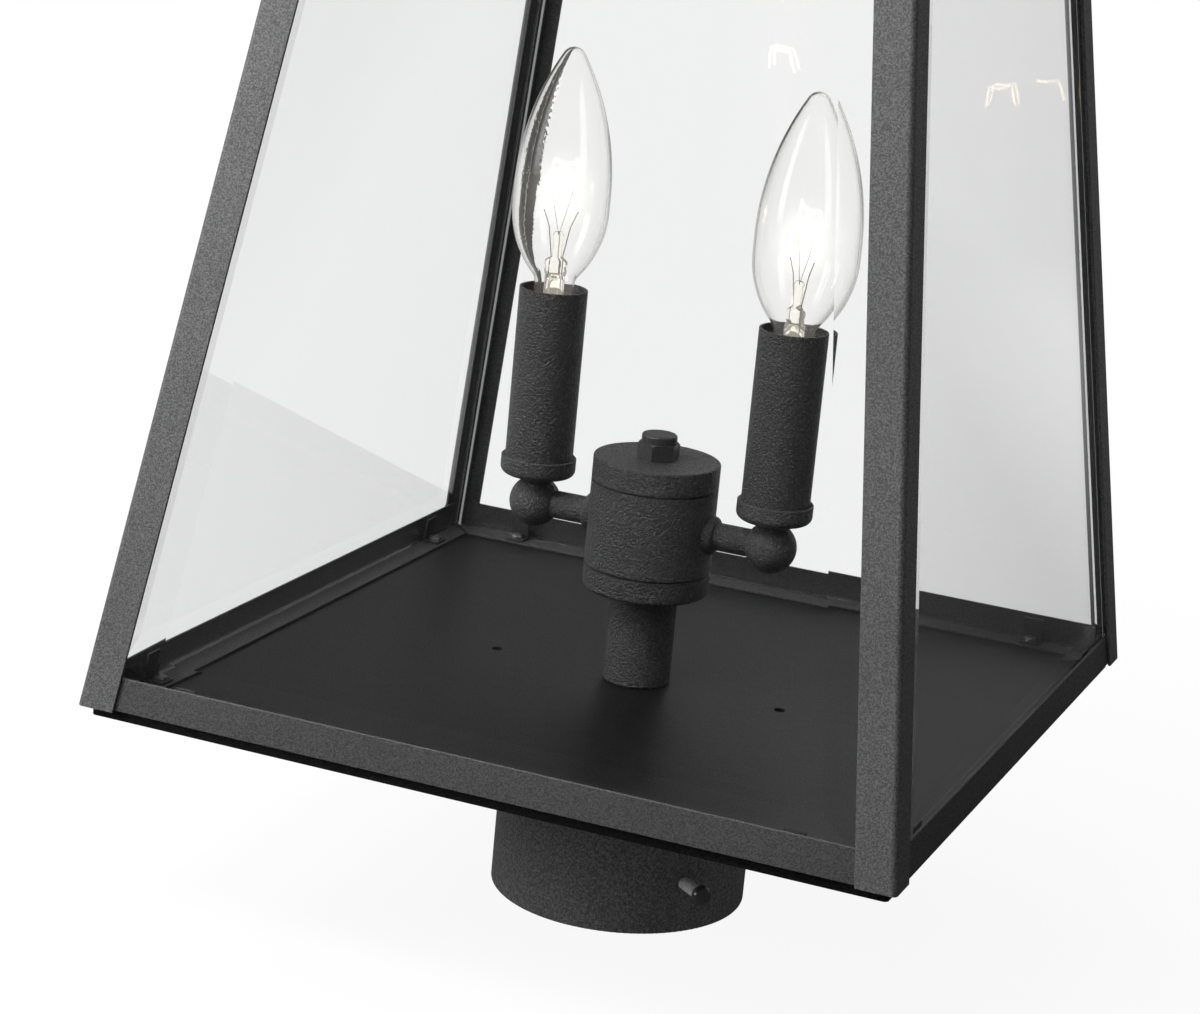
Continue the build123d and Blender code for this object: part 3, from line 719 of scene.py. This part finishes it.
class Bench:
    """Turns bmeshes into finished pieces."""

    easing_steps: int = 2
    flat: float = math.radians(0.6)

    def __init__(self, finishes: dict[Finish, bpy.types.Material]) -> None:
        """Keeps the lantern's finishes."""
        self.finishes = finishes

    def made(
        self, blank: Blank, node: str, word: str, finish: Finish, crease: float = 40.0
    ) -> Piece:
        """Makes a piece of a blank, its faces turned outwards."""
        bmesh.ops.recalc_face_normals(blank.bm, faces=blank.bm.faces)
        return self.piece(blank.bm, node, word, finish, crease)

    def islands(self, node: str) -> list[tuple[Vector, Vector]]:
        """Returns the lowest and highest corner of each solid of a CAD node."""
        bm = self.merged(node)
        boxes = []
        left = set(bm.verts)
        while left:
            reached = [left.pop()]
            for vert in reached:
                near = {edge.other_vert(vert) for edge in vert.link_edges} & left
                left -= near
                reached.extend(near)
            spans = list(zip(*(vert.co for vert in reached)))
            boxes.append(tuple(Vector(pick(span) for span in spans) for pick in (min, max)))
        bm.free()
        return boxes

    def piece(
        self, bm: bmesh.types.BMesh, node: str, word: str, finish: Finish, crease: float = 35.0
    ) -> Piece:
        """Makes a piece that replaces a CAD node, with soft shading up to a crease angle.

        Args:
            bm: The shape, which is used up.
            node: The CAD node, whose body it rides on.
            word: What the piece's name adds to the node's.
            finish: Its finish.
            crease: Degrees above which an edge stays sharp.

        Returns:
            The piece.
        """
        limit = math.radians(crease)
        for face in bm.faces:
            face.smooth = True
        for edge in bm.edges:
            if len(edge.link_faces) == 2:
                edge.smooth = edge.calc_face_angle() < limit
        name = f"{node}_{word}"
        mesh = bpy.data.meshes.new(name)
        bm.to_mesh(mesh)
        bm.free()
        obj = linked(name, mesh)
        mesh.materials.append(self.finishes[finish])
        body = frame["nodes"][node]["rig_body"]
        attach(obj, body)
        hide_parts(node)
        log.info("%s on %s: %d faces", name, body, len(mesh.polygons))
        return obj

    def dress(self, node: str, finish: Finish) -> None:
        """Gives a CAD node its finish.

        Args:
            node: The CAD node.
            finish: Its finish.
        """
        for place in frame["nodes"][node].material_slots:
            place.material = self.finishes[finish]
        log.info("%s keeps its CAD shape", node)

    def merged(self, node: str) -> bmesh.types.BMesh:
        """Returns a merged copy of a CAD node's mesh, its flat faces in one."""
        bm = bmesh.new()
        bm.from_mesh(frame["nodes"][node].data)
        bmesh.ops.remove_doubles(bm, verts=bm.verts, dist=2.0 * MERGE)
        bmesh.ops.dissolve_limit(
            bm, angle_limit=self.flat, use_dissolve_boundaries=False, verts=bm.verts, edges=bm.edges
        )
        return bm

    def eased(self, node: str, finish: Finish, width: float, angle: float = 40.0) -> None:
        """Replaces a CAD node by a copy with eased edges.

        Args:
            node: The CAD node.
            finish: Its finish.
            width: Width of the easing in metres.
            angle: Degrees from which an edge is eased.
        """
        bm = self.merged(node)
        limit = math.radians(angle)
        sharp = [e for e in bm.edges if len(e.link_faces) == 2 and e.calc_face_angle() > limit]
        bmesh.ops.bevel(
            bm, geom=sharp, offset=width, offset_type="OFFSET", segments=self.easing_steps,
            profile=0.5, affect="EDGES", clamp_overlap=False, material=-1,
        )
        obj = self.piece(bm, node, "dressed", finish)
        obj.modifiers.new("even shading", "WEIGHTED_NORMAL").keep_sharp = True


# ---- studio
@dataclass(frozen=True)
class Lamp:
    """Soft lamp: where it hangs, what it faces, its width and height and its watts."""

    name: str
    place: Triple
    aim: Triple
    size: Pair
    power: float
    shines: bool = True

    def hang(self) -> None:
        """Adds the lamp, which shows in reflections if it shines."""
        data = bpy.data.lights.new(self.name, "AREA")
        data.shape = "RECTANGLE"
        data.size, data.size_y = self.size
        data.energy = self.power
        obj = linked(self.name, data)
        way = Vector(self.aim) - Vector(self.place)
        turn = way.to_track_quat("-Z", "Y").to_matrix().to_4x4()
        obj.matrix_world = Matrix.Translation(self.place) @ turn
        obj.visible_camera = False
        obj.visible_transmission = False
        obj.visible_glossy = self.shines


@dataclass
class Studio:
    """White sweep, soft lamps and the photograph's camera.

    A ramp holds the start and end of a range, and what they become.
    """

    camera_place: Triple = (0.32512, -0.87226, 0.37895)
    azimuth: float = 19.677
    elevation: float = 14.384
    roll: float = 5.845
    lens: float = 92.214
    sensor: float = 36.0
    shift: Pair = (-0.08163, -0.03086)
    floor_radius: float = 6.0
    floor_segments: int = 96
    floor_tone: float = 0.8
    floor_white: Ramp = (0.1, 0.5, 0.92, 1.0)
    floor_bounce: float = 0.3
    floor_front: Ramp = (0.0, 0.15, 0.12, 1.0)
    lane_slope: float = 0.37
    lane_edge: Ramp = (-0.06, 0.06, 0.0, 1.0)
    lane_near: Ramp = (1.1, 2.2, 0.6, 0.37)
    lane_far: Ramp = (0.45, 1.4, 0.03, 0.2)
    overhead: Ramp = (0.35, 0.8, 0.04, 0.4)
    behind: Ramp = (0.2, 0.7, 0.0, 0.9)
    behind_left: Ramp = (-0.42, -0.05, 0.0, 1.0)
    behind_right: Ramp = (0.0, 0.25, 1.0, 0.38)
    soft_height: Ramp = (-0.3, 0.8, 0.1, 0.22)
    soft_side: Ramp = (-0.6, 0.7, 1.0, 0.55)
    tall_lights: tuple[Pair, ...] = ((-140.0, 4.5), (-20.0, 3.0))
    tall_width: Pair = (0.1, 0.2)
    tall_ahead: Ramp = (0.2, 0.4, 0.0, 1.0)
    tall_foot: Ramp = (-0.1, 0.1, 0.0, 1.0)
    tall_top: Ramp = (0.5, 0.7, 1.0, 0.0)
    tall_depth: float = 3.5
    lamps: tuple[Lamp, ...] = (
        Lamp("key lamp", (-0.78, -0.66, 0.68), (0.0, -0.05, 0.26), (0.4, 0.8), 15.0),
        Lamp("front lamp", (-0.15, -0.5, 0.8), (0.0, -0.05, 0.2), (0.3, 0.24), 4.2),
        Lamp("top lamp", (-0.15, 0.0, 1.2), (0.0, 0.0, 0.15), (0.5, 0.5), 2.5),
        Lamp("back lamp", (-0.62, 0.76, 0.82), (0.0, 0.0, 0.15), (0.4, 0.4), 4.5, False),
    )

    def camera(self) -> None:
        """Makes the camera and looks through it."""
        data = bpy.data.cameras.new("camera")
        data.lens = self.lens
        data.sensor_width = self.sensor
        data.shift_x, data.shift_y = self.shift
        data.clip_start = 0.01
        az, el, roll = (math.radians(a) for a in (self.azimuth, self.elevation, self.roll))
        back = Vector((math.sin(az) * math.cos(el), -math.cos(az) * math.cos(el), math.sin(el)))
        level = Vector((math.cos(az), math.sin(az), 0.0))
        over = back.cross(level)
        right = math.cos(roll) * level + math.sin(roll) * over
        up = -math.sin(roll) * level + math.cos(roll) * over
        turn = Matrix((right, up, back)).transposed().to_4x4()
        obj = linked("camera", data)
        obj.matrix_world = Matrix.Translation(self.camera_place) @ turn
        bpy.context.scene.camera = obj

    def windows(self, s: Nodes, way: Sequence[Socket], rays: Node) -> Socket:
        """Gives the tall soft lights that the bulbs mirror from behind the panes.

        Args:
            s: The nodes that are written.
            way: X, Y and Z of the direction.
            rays: Their Light Path node.

        Returns:
            The strength of those lights.
        """
        total: Socket | float = 0.0
        for bearing, strength in self.tall_lights:
            east, north = math.cos(math.radians(bearing)), math.sin(math.radians(bearing))
            ahead = s.product(s.product(way[0], east), s.product(way[1], north), "ADD")
            across = s.product(s.product(way[0], north), s.product(way[1], east), "SUBTRACT")
            off = s.product(across, 0.0, "ABSOLUTE")
            band = s.spread(off, *self.tall_width, strength, 0.0)
            total = s.product(total, s.product(band, s.spread(ahead, *self.tall_ahead)), "ADD")
        tall = s.product(s.spread(way[2], *self.tall_foot), s.spread(way[2], *self.tall_top))
        deep = s.product(rays.outputs["Transmission Depth"], self.tall_depth, "GREATER_THAN")
        through = s.product(deep, rays.outputs["Is Transmission Ray"])
        return s.product(s.product(total, tall), through)

    def world(self) -> None:
        """White for the eye, plain soft light for surfaces, a dimmer room in reflections."""
        world = bpy.data.worlds.new("white studio")
        bpy.context.scene.world = world
        world.use_nodes = True
        tree = world.node_tree
        tree.nodes.clear()
        s = Nodes(tree, tree.nodes.new("ShaderNodeOutputWorld"))
        way = s.split(s.add("TexCoord").outputs["Generated"])
        rays = s.add("LightPath")
        lane = s.product(s.spread(way[0], *self.behind_left), s.spread(way[0], *self.behind_right))
        behind = s.product(s.spread(way[1], *self.behind), lane)
        room = s.product(s.spread(way[2], *self.overhead), behind, "ADD")
        room = s.product(room, self.windows(s, way, rays), "ADD")
        soft = s.product(s.spread(way[2], *self.soft_height), s.spread(way[0], *self.soft_side))
        level = s.blend(s.seen(rays), s.blend(s.mirrored(rays), soft, room), 1.0)
        shine = s.add("Background", {"Color": WHITE, "Strength": level})
        s.feed(s.output.inputs["Surface"], shine.outputs[0])

    def floor(self) -> None:
        """Pale floor that reads white and keeps a soft shadow."""
        bm = bmesh.new()
        bmesh.ops.create_circle(
            bm, cap_ends=True, segments=self.floor_segments, radius=self.floor_radius
        )
        mesh = bpy.data.meshes.new("floor")
        bm.to_mesh(mesh)
        bm.free()
        obj = linked("floor", mesh)
        s = Shader("pale floor")
        mesh.materials.append(s.material)
        tone = (self.floor_tone,) * 3 + (1.0,)
        s.surface(Base_Color=tone, Roughness=1.0, Specular_IOR_Level=0.0)
        place = s.place()
        distance = s.add("VectorMath", {0: place}, operation="LENGTH").outputs["Value"]
        east, north, _ = s.split(place)
        lane = s.product(east, s.product(north, -self.lane_slope), "ADD")
        near, far = s.spread(north, *self.lane_near), s.spread(north, *self.lane_far)
        aside = s.blend(s.spread(lane, *self.lane_edge), near, far)
        shade = s.product(aside, s.spread(north, *self.floor_front))
        rays = s.add("LightPath")
        bounce = s.blend(s.mirrored(rays), self.floor_bounce, shade)
        dusk = s.add("Emission", {"Color": WHITE, "Strength": bounce}).outputs[0]
        white = s.add("Emission", {"Color": WHITE, "Strength": 1.0}).outputs[0]
        glow = s.spread(distance, *self.floor_white)
        bright = s.add("MixShader", {0: glow, 1: s.principled.outputs[0], 2: white}).outputs[0]
        mix = s.add("MixShader", {0: s.seen(rays), 1: dusk, 2: bright})
        s.feed(s.output.inputs["Surface"], mix.outputs[0])

    def build(self) -> None:
        """Sets up the whole studio."""
        bpy.context.scene.view_settings.view_transform = "Standard"
        self.camera()
        self.world()
        self.floor()
        for lamp in self.lamps:
            lamp.hang()


# ---- the lantern
@dataclass
class Cage:
    """Corner posts and the rails between them."""

    bench: Bench
    edge: float = 0.28 * MM
    corners: tuple[str, ...] = ("front_left", "front_right", "back_left", "back_right")
    sides: tuple[str, ...] = ("front", "back", "left", "right")

    def build(self) -> None:
        """Eases the edges of the sheet pieces."""
        for corner in self.corners:
            self.bench.eased(f"post_{corner}", Finish.CAGE, self.edge)
        for side in self.sides:
            self.bench.eased(f"bottom_rail_{side}", Finish.RAIL, self.edge)
            self.bench.eased(f"top_rail_{side}", Finish.CAGE, self.edge)


@dataclass
class BasePan:
    """Sheet pan under the cage."""

    bench: Bench
    edge: float = 0.3 * MM
    drain_spacing: float = 97.4 * MM
    drain_radius: float = 1.75 * MM
    underside: float = 69.0 * MM
    rim_depth: float = 1.6 * MM
    rim_wall: float = 0.5 * MM

    def build(self) -> None:
        """Eases the pan's edges and draws the rims of its drain holes."""
        self.bench.eased("base_pan", Finish.PAN, self.edge)
        inner, outer = self.drain_radius, self.drain_radius + self.rim_wall
        low, high = self.underside - self.rim_depth, self.underside
        ring = [(inner, high), (inner, low), (outer, low), (outer, high), (inner, high)]
        places = [upright((side * self.drain_spacing / 2, 0.0, 0.0)) for side in (-1, 1)]
        rims = Blank().add(Blank().turned(ring, 32), places)
        self.bench.made(rims, "base_pan", "drain_rims", Finish.PAN)


@dataclass
class Glazing:
    """Bevelled panes with their clips and screws."""

    bench: Bench
    screw: PanScrew = PanScrew(4.4 * MM, 1.5 * MM, 2.9 * MM)
    turn: float = 900.0
    middle: float = 200.0 * MM
    lean: float = 45.1 / 320.0
    bevel_lift: float = 0.9 * MM
    bevel_depth: float = 1.6 * MM
    bevel_slack: float = 0.2 * MM
    clip_edge: float = 0.2 * MM

    def build(self) -> None:
        """Makes the panes, clips and screws."""
        for side, *way in (("front", 0, -1), ("back", 0, 1), ("left", -1, 0), ("right", 1, 0)):
            self.pane(f"pane_{side}", Vector((*way, self.lean)).normalized())
        self.bench.eased("glass_clips", Finish.CLIP, self.clip_edge)
        self.screws()

    def pane(self, node: str, outward: Vector) -> None:
        """Makes a pane with a shallow polished bevel; its upright edges carry painted light and
        shade.

        Args:
            node: The pane's CAD node.
            outward: The way that it faces.
        """
        blank = Blank()
        blank.bm = self.bench.merged(node)
        front = max(vert.co.dot(outward) for vert in blank.bm.verts)
        level = front - self.bevel_depth
        foot = [v for v in blank.bm.verts if abs(level - v.co.dot(outward)) < self.bevel_slack]
        bmesh.ops.translate(blank.bm, vec=outward * self.bevel_lift, verts=foot)
        obj = self.bench.made(blank, node, "polished", Finish.PANE, crease=1.0)
        # The back pane's upright edges get a painted glow; the others are painted near black as
        # painted shade.
        edge = Finish.PANE_EDGE if node == "pane_back" else Finish.SHADED_EDGE
        obj.data.materials.append(self.bench.finishes[edge])
        for face in obj.data.polygons:
            if abs(face.normal.dot(outward)) < 0.5 and abs(face.normal.z) < 0.5:
                face.material_index = 1

    def screws(self) -> None:
        """Makes the clips' screws, with their heads on the clips."""
        screws = Blank()
        for low, high in self.bench.islands("clip_screws"):
            way = 1.0 if low.z < self.middle else -1.0
            seat = (low + high) / 2
            seat.z = (high.z if way > 0 else low.z) - way * self.screw.height
            screw = self.screw.made(high.z - low.z - self.screw.height)
            turn = Matrix.Rotation(seat.x * self.turn, 4, "Z")
            screws.add(screw, [aimed(seat, (0.0, 0.0, way)) @ turn])
        self.bench.made(screws, "clip_screws", "pan_head", Finish.SCREW_HEAD, crease=30.0)


@dataclass
class Fitter:
    """Round fitter with its set screws."""

    bench: Bench
    screw_height: float = 16.6 * MM
    angles: Pair = (-39.0, 141.0)
    tip: float = 38.7 * MM
    seat: float = 50.9 * MM
    overlap: float = 0.4 * MM
    shank: float = 3.9 * MM
    pitch: float = 1.0 * MM
    head: float = 6.4 * MM
    head_height: float = 2.5 * MM
    head_turn: float = 20.0

    def build(self) -> None:
        """Dresses the fitter and makes the screws."""
        self.bench.dress("fitter", Finish.FITTER)
        for number, angle in enumerate(self.angles, 1):
            self.set_screw(f"set_screw_{number}", math.radians(angle))

    def set_screw(self, node: str, angle: float) -> None:
        """Makes a bright threaded screw with a blackened head.

        Args:
            node: The screw's CAD node.
            angle: Its place round the fitter, in radians.
        """
        way = Vector((math.cos(angle), math.sin(angle), 0.0))
        level = Vector((0.0, 0.0, self.screw_height))
        foot, seat = way * self.tip + level, way * self.seat + level
        length = self.seat - self.tip + self.overlap
        thread = screw_thread(self.shank, length, self.pitch)
        shank = Blank().add(thread, [aimed(foot, way)])
        self.bench.made(shank, node, "shank", Finish.SCREW, crease=25.0)
        turn = Matrix.Rotation(math.radians(self.head_turn), 4, "Z")
        head = Blank().add(pan_head(self.head, self.head_height), [aimed(seat, way) @ turn])
        self.bench.made(head, node, "head", Finish.SCREW_HEAD, crease=30.0)


@dataclass
class Cluster:
    """Stem, hub and arms."""

    bench: Bench
    rim: float = 0.2 * MM
    hub_radius: float = 20.0 * MM
    joints: Pair = (108.1 * MM, 135.2 * MM)
    joint_depth: float = 1.0 * MM

    def hub(self, node: str) -> None:
        """Makes a piece of the hub, with a crisp groove at its joints.

        Args:
            node: The CAD node.
        """
        blank = Blank()
        blank.bm = self.bench.merged(node)
        groove = self.hub_radius - self.joint_depth
        for joint in self.joints:
            level = [v for v in blank.bm.verts if abs(v.co.z - joint) < NEAR]
            lip = [v for v in level if v.co.xy.length > groove]
            if lip:
                deeper = groove / lip[0].co.xy.length
                bmesh.ops.scale(blank.bm, vec=(deeper, deeper, 1.0), verts=lip)
        obj = self.bench.made(blank, node, "turned", Finish.CLUSTER)
        obj.modifiers.new("even shading", "WEIGHTED_NORMAL").keep_sharp = True

    def build(self) -> None:
        """Makes the hub, and dresses the turned and cast pieces."""
        for node in ("hub_bottom_cap", "hub_body", "hub_top_cap"):
            self.hub(node)
        self.bench.dress("stem", Finish.CLUSTER)
        self.bench.dress("hub_cap_nut", Finish.NUT)
        for side in ("left", "right"):
            self.bench.dress(f"arm_{side}", Finish.CLUSTER)
            self.bench.dress(f"cup_{side}", Finish.CLUSTER)
            self.bench.eased(f"sleeve_{side}", Finish.CANDLE, self.rim)
        self.bench.dress("nipple", Finish.THREADED)
        self.bench.dress("stem_lock_nut", Finish.ZINC)


@dataclass
class CandleBulb:
    """One lamp holder with its lit bulb.

    Heights run from the foot of the glass, and in the contact and insulator from the base's tip.
    Profiles and bends are in millimetres.
    """

    bench: Bench
    side: str
    axis: float
    foot: float
    turn: float
    base_length: float = 17.0 * MM
    thread_foot: float = 14.4 * MM
    thread_turns: float = 4.0
    thread: Profile = ((5.4, 0.0), (5.5, 0.42), (5.9, 0.945), (5.9, 1.26), (5.5, 1.785), (5.4, 2.1))
    skirt: Profile = ((0.0, -4.6), (5.4, -4.6), (5.8, -3.6), (5.8, -0.5), (5.4, 0.0), (0.0, 0.0))
    insulator: Profile = ((0.0, 3.2), (5.4, 3.2), (4.3, 2.2), (2.3, 0.8), (0.0, 0.8))
    contact: Profile = ((0.0, 1.0), (2.1, 1.0), (2.0, 0.35), (1.5, 0.0), (0.0, 0.0))
    bore: Profile = ((0.0, 9.8), (1.5, 9.2), (2.5, 7.5), (2.5, 3.6), (4.0, 1.2), (4.9, 0.0))
    flare: Profile = ((5.5, 0.0), (4.6, 1.4), (3.2, 3.6), (3.2, 6.5), (3.2, 9.4))
    pinch: Profile = ((3.0, 10.0), (3.1, 10.9), (2.8, 11.9), (3.2, 13.0), (3.05, 14.1), (2.3, 14.8))
    rod: Profile = ((1.5, 15.5), (1.35, 17.4), (1.5, 19.6), (1.275, 21.2))
    button: Profile = ((1.725, 22.2), (1.2, 23.1), (0.0, 23.4))
    flattened: Triple = (1.15, 0.62, 1.0)
    bends: tuple[Triple, ...] = (
        (-5.4, 0.0, 30.0), (-4.4, 0.8, 38.6), (-0.2, -0.6, 37.3), (3.6, 0.8, 38.4), (5.6, 0.0, 30.3)
    )
    coil_wire: float = 0.2 * MM
    coil_size: float = 0.8 * MM
    coil_pitch: float = 0.4 * MM
    lead_wire: float = 0.32 * MM
    lead_spacing: float = 3.8
    lead_heights: Triple = (4.0, 14.5, 15.9)
    knee: Triple = (0.62, 0.2, 24.9)
    support_wire: float = 0.2 * MM
    support_root: float = 22.1
    hook: tuple[Triple, ...] = ((0.0, 0.45, -0.3), (0.3, 0.0, 0.55), (0.1, -0.5, 0.3))

    def build(self) -> None:
        """Dresses the holder and makes the bulb."""
        self.bench.dress(f"socket_{self.side}", Finish.MOULDING)
        self.bench.dress(f"socket_shell_{self.side}", Finish.SHELL)
        glass = Finish.BULB_LEFT if self.side == "left" else Finish.BULB_RIGHT
        self.bench.dress(f"bulb_glass_{self.side}", glass)
        self.base()
        self.mount()
        self.filament()
        self.leads()

    def finished(
        self, blank: Blank, node: str, word: str, finish: Finish, crease: float = 40.0
    ) -> None:
        """Sets a blank in the bulb.

        Args:
            blank: The shape, from the foot of the glass.
            node: First part of the CAD node's name.
            word: What is added to the node's name.
            finish: Its finish.
            crease: Degrees above which an edge stays sharp.
        """
        seat = upright((self.axis, 0.0, self.foot), math.radians(self.turn))
        seated = Blank().add(blank, [seat])
        self.bench.made(seated, f"{node}_{self.side}", word, finish, crease)

    def base(self) -> None:
        """Makes the rolled screw shell, its insulator and its contact."""
        roll = Blank().threaded(in_mm(self.thread), self.thread_turns, 36)
        shell = Blank().add(roll, [upright((0.0, 0.0, -self.thread_foot))])
        shell.turned(in_mm(self.skirt), 48)
        self.finished(shell, "bulb_base", "shell", Finish.BRASS)
        insulator = Blank().turned(in_mm(self.insulator, -self.base_length), 40)
        self.finished(insulator, "bulb_base", "insulator", Finish.MOULDING)
        contact = Blank().turned(in_mm(self.contact, -self.base_length), 32)
        self.finished(contact, "bulb_base", "contact", Finish.CONTACT)

    def mount(self) -> None:
        """Makes the glass stem: flare and tube, flattened pinch and rod with its button."""
        side = [*self.bore, self.flare[0], *self.flare, *self.pinch, *self.rod, *self.button]
        stem = Blank().turned(in_mm(side), 40)
        for _, height in self.pinch:
            row = [v for v in stem.bm.verts if abs(v.co.z - height * MM) < NEAR]
            bmesh.ops.scale(stem.bm, vec=self.flattened, verts=row)
        self.finished(stem, "bulb_mount", "stem", Finish.MOUNT, crease=60.0)

    def filament(self) -> None:
        """Winds the coil from bend to bend."""
        bends = [Vector(bend) * MM for bend in self.bends]
        coil = Blank()
        for start, end in zip(bends, bends[1:]):
            coil.coil(start, end, self.coil_size, self.coil_wire, self.coil_pitch)
        self.finished(coil, "filament", "coil", Finish.FILAMENT, crease=60.0)

    def leads(self) -> None:
        """Makes the lead wires to the coil's ends and the hooks that hold it between them."""
        leads = Blank()
        foot, bend, top = self.lead_heights
        reach, aside, knee = self.knee
        for sign, end in ((-1.0, self.bends[0]), (1.0, self.bends[-1])):
            side = sign * self.lead_spacing / 2
            line = [(side, 0.0, foot), (side, 0.1, bend), (side, 0.1, top)]
            line += [(reach * end[0], aside, knee), end]
            leads.wire([Vector(point) * MM for point in line], self.lead_wire)
        root = Vector((0.0, 0.0, self.support_root))
        for end in self.bends[1:4:2]:
            held = Vector(end)
            line = [root, root.lerp(held, 0.5) + Vector((0.0, 0.5, 0.0))]
            line += [held + Vector(step) for step in self.hook]
            leads.wire([point * MM for point in line], self.support_wire, 6)
        self.finished(leads, "filament", "leads", Finish.LEAD, crease=50.0)


@dataclass
class Hood:
    """Pyramid hood, its cap, strap, stud and knob."""

    bench: Bench
    screw: PanScrew = PanScrew(5.4 * MM, 1.6 * MM, 3.0 * MM)
    roof_edge: float = 0.3 * MM
    cap_edge: float = 0.5 * MM
    strap_edge: float = 0.25 * MM
    fold: float = 25.0

    def build(self) -> None:
        """Dresses the hood's pieces and makes the strap's screws."""
        self.bench.eased("roof", Finish.HOOD, self.roof_edge, self.fold)
        self.bench.eased("roof_cap", Finish.HOOD, self.cap_edge, self.fold)
        self.bench.eased("cross_strap", Finish.HOOD, self.strap_edge)
        self.bench.dress("finial", Finish.HOOD)
        self.bench.dress("roof_stud", Finish.THREADED)
        self.bench.dress("stud_nuts", Finish.ZINC)
        screws = Blank()
        for low, high in self.bench.islands("strap_screws"):
            seat = (low + high) / 2
            seat.z = high.z - self.screw.height
            screws.add(self.screw.made(seat.z - low.z), [upright(seat)])
        self.bench.made(screws, "strap_screws", "pan_head", Finish.SCREW_HEAD, crease=30.0)


def main() -> None:
    """Builds the studio and the lantern, sub-assembly by sub-assembly."""
    logging.basicConfig(level=logging.INFO, format="%(name)s: %(message)s")
    bench = Bench(all_finishes())
    Studio().build()
    for part in (Cage(bench), BasePan(bench), Glazing(bench), Fitter(bench), Cluster(bench)):
        part.build()
    CandleBulb(bench, "left", axis=-40.0 * MM, foot=185.31 * MM, turn=12.0).build()
    CandleBulb(bench, "right", axis=40.0 * MM, foot=182.61 * MM, turn=-28.0).build()
    Hood(bench).build()


if __name__ == "__main__":
    main()
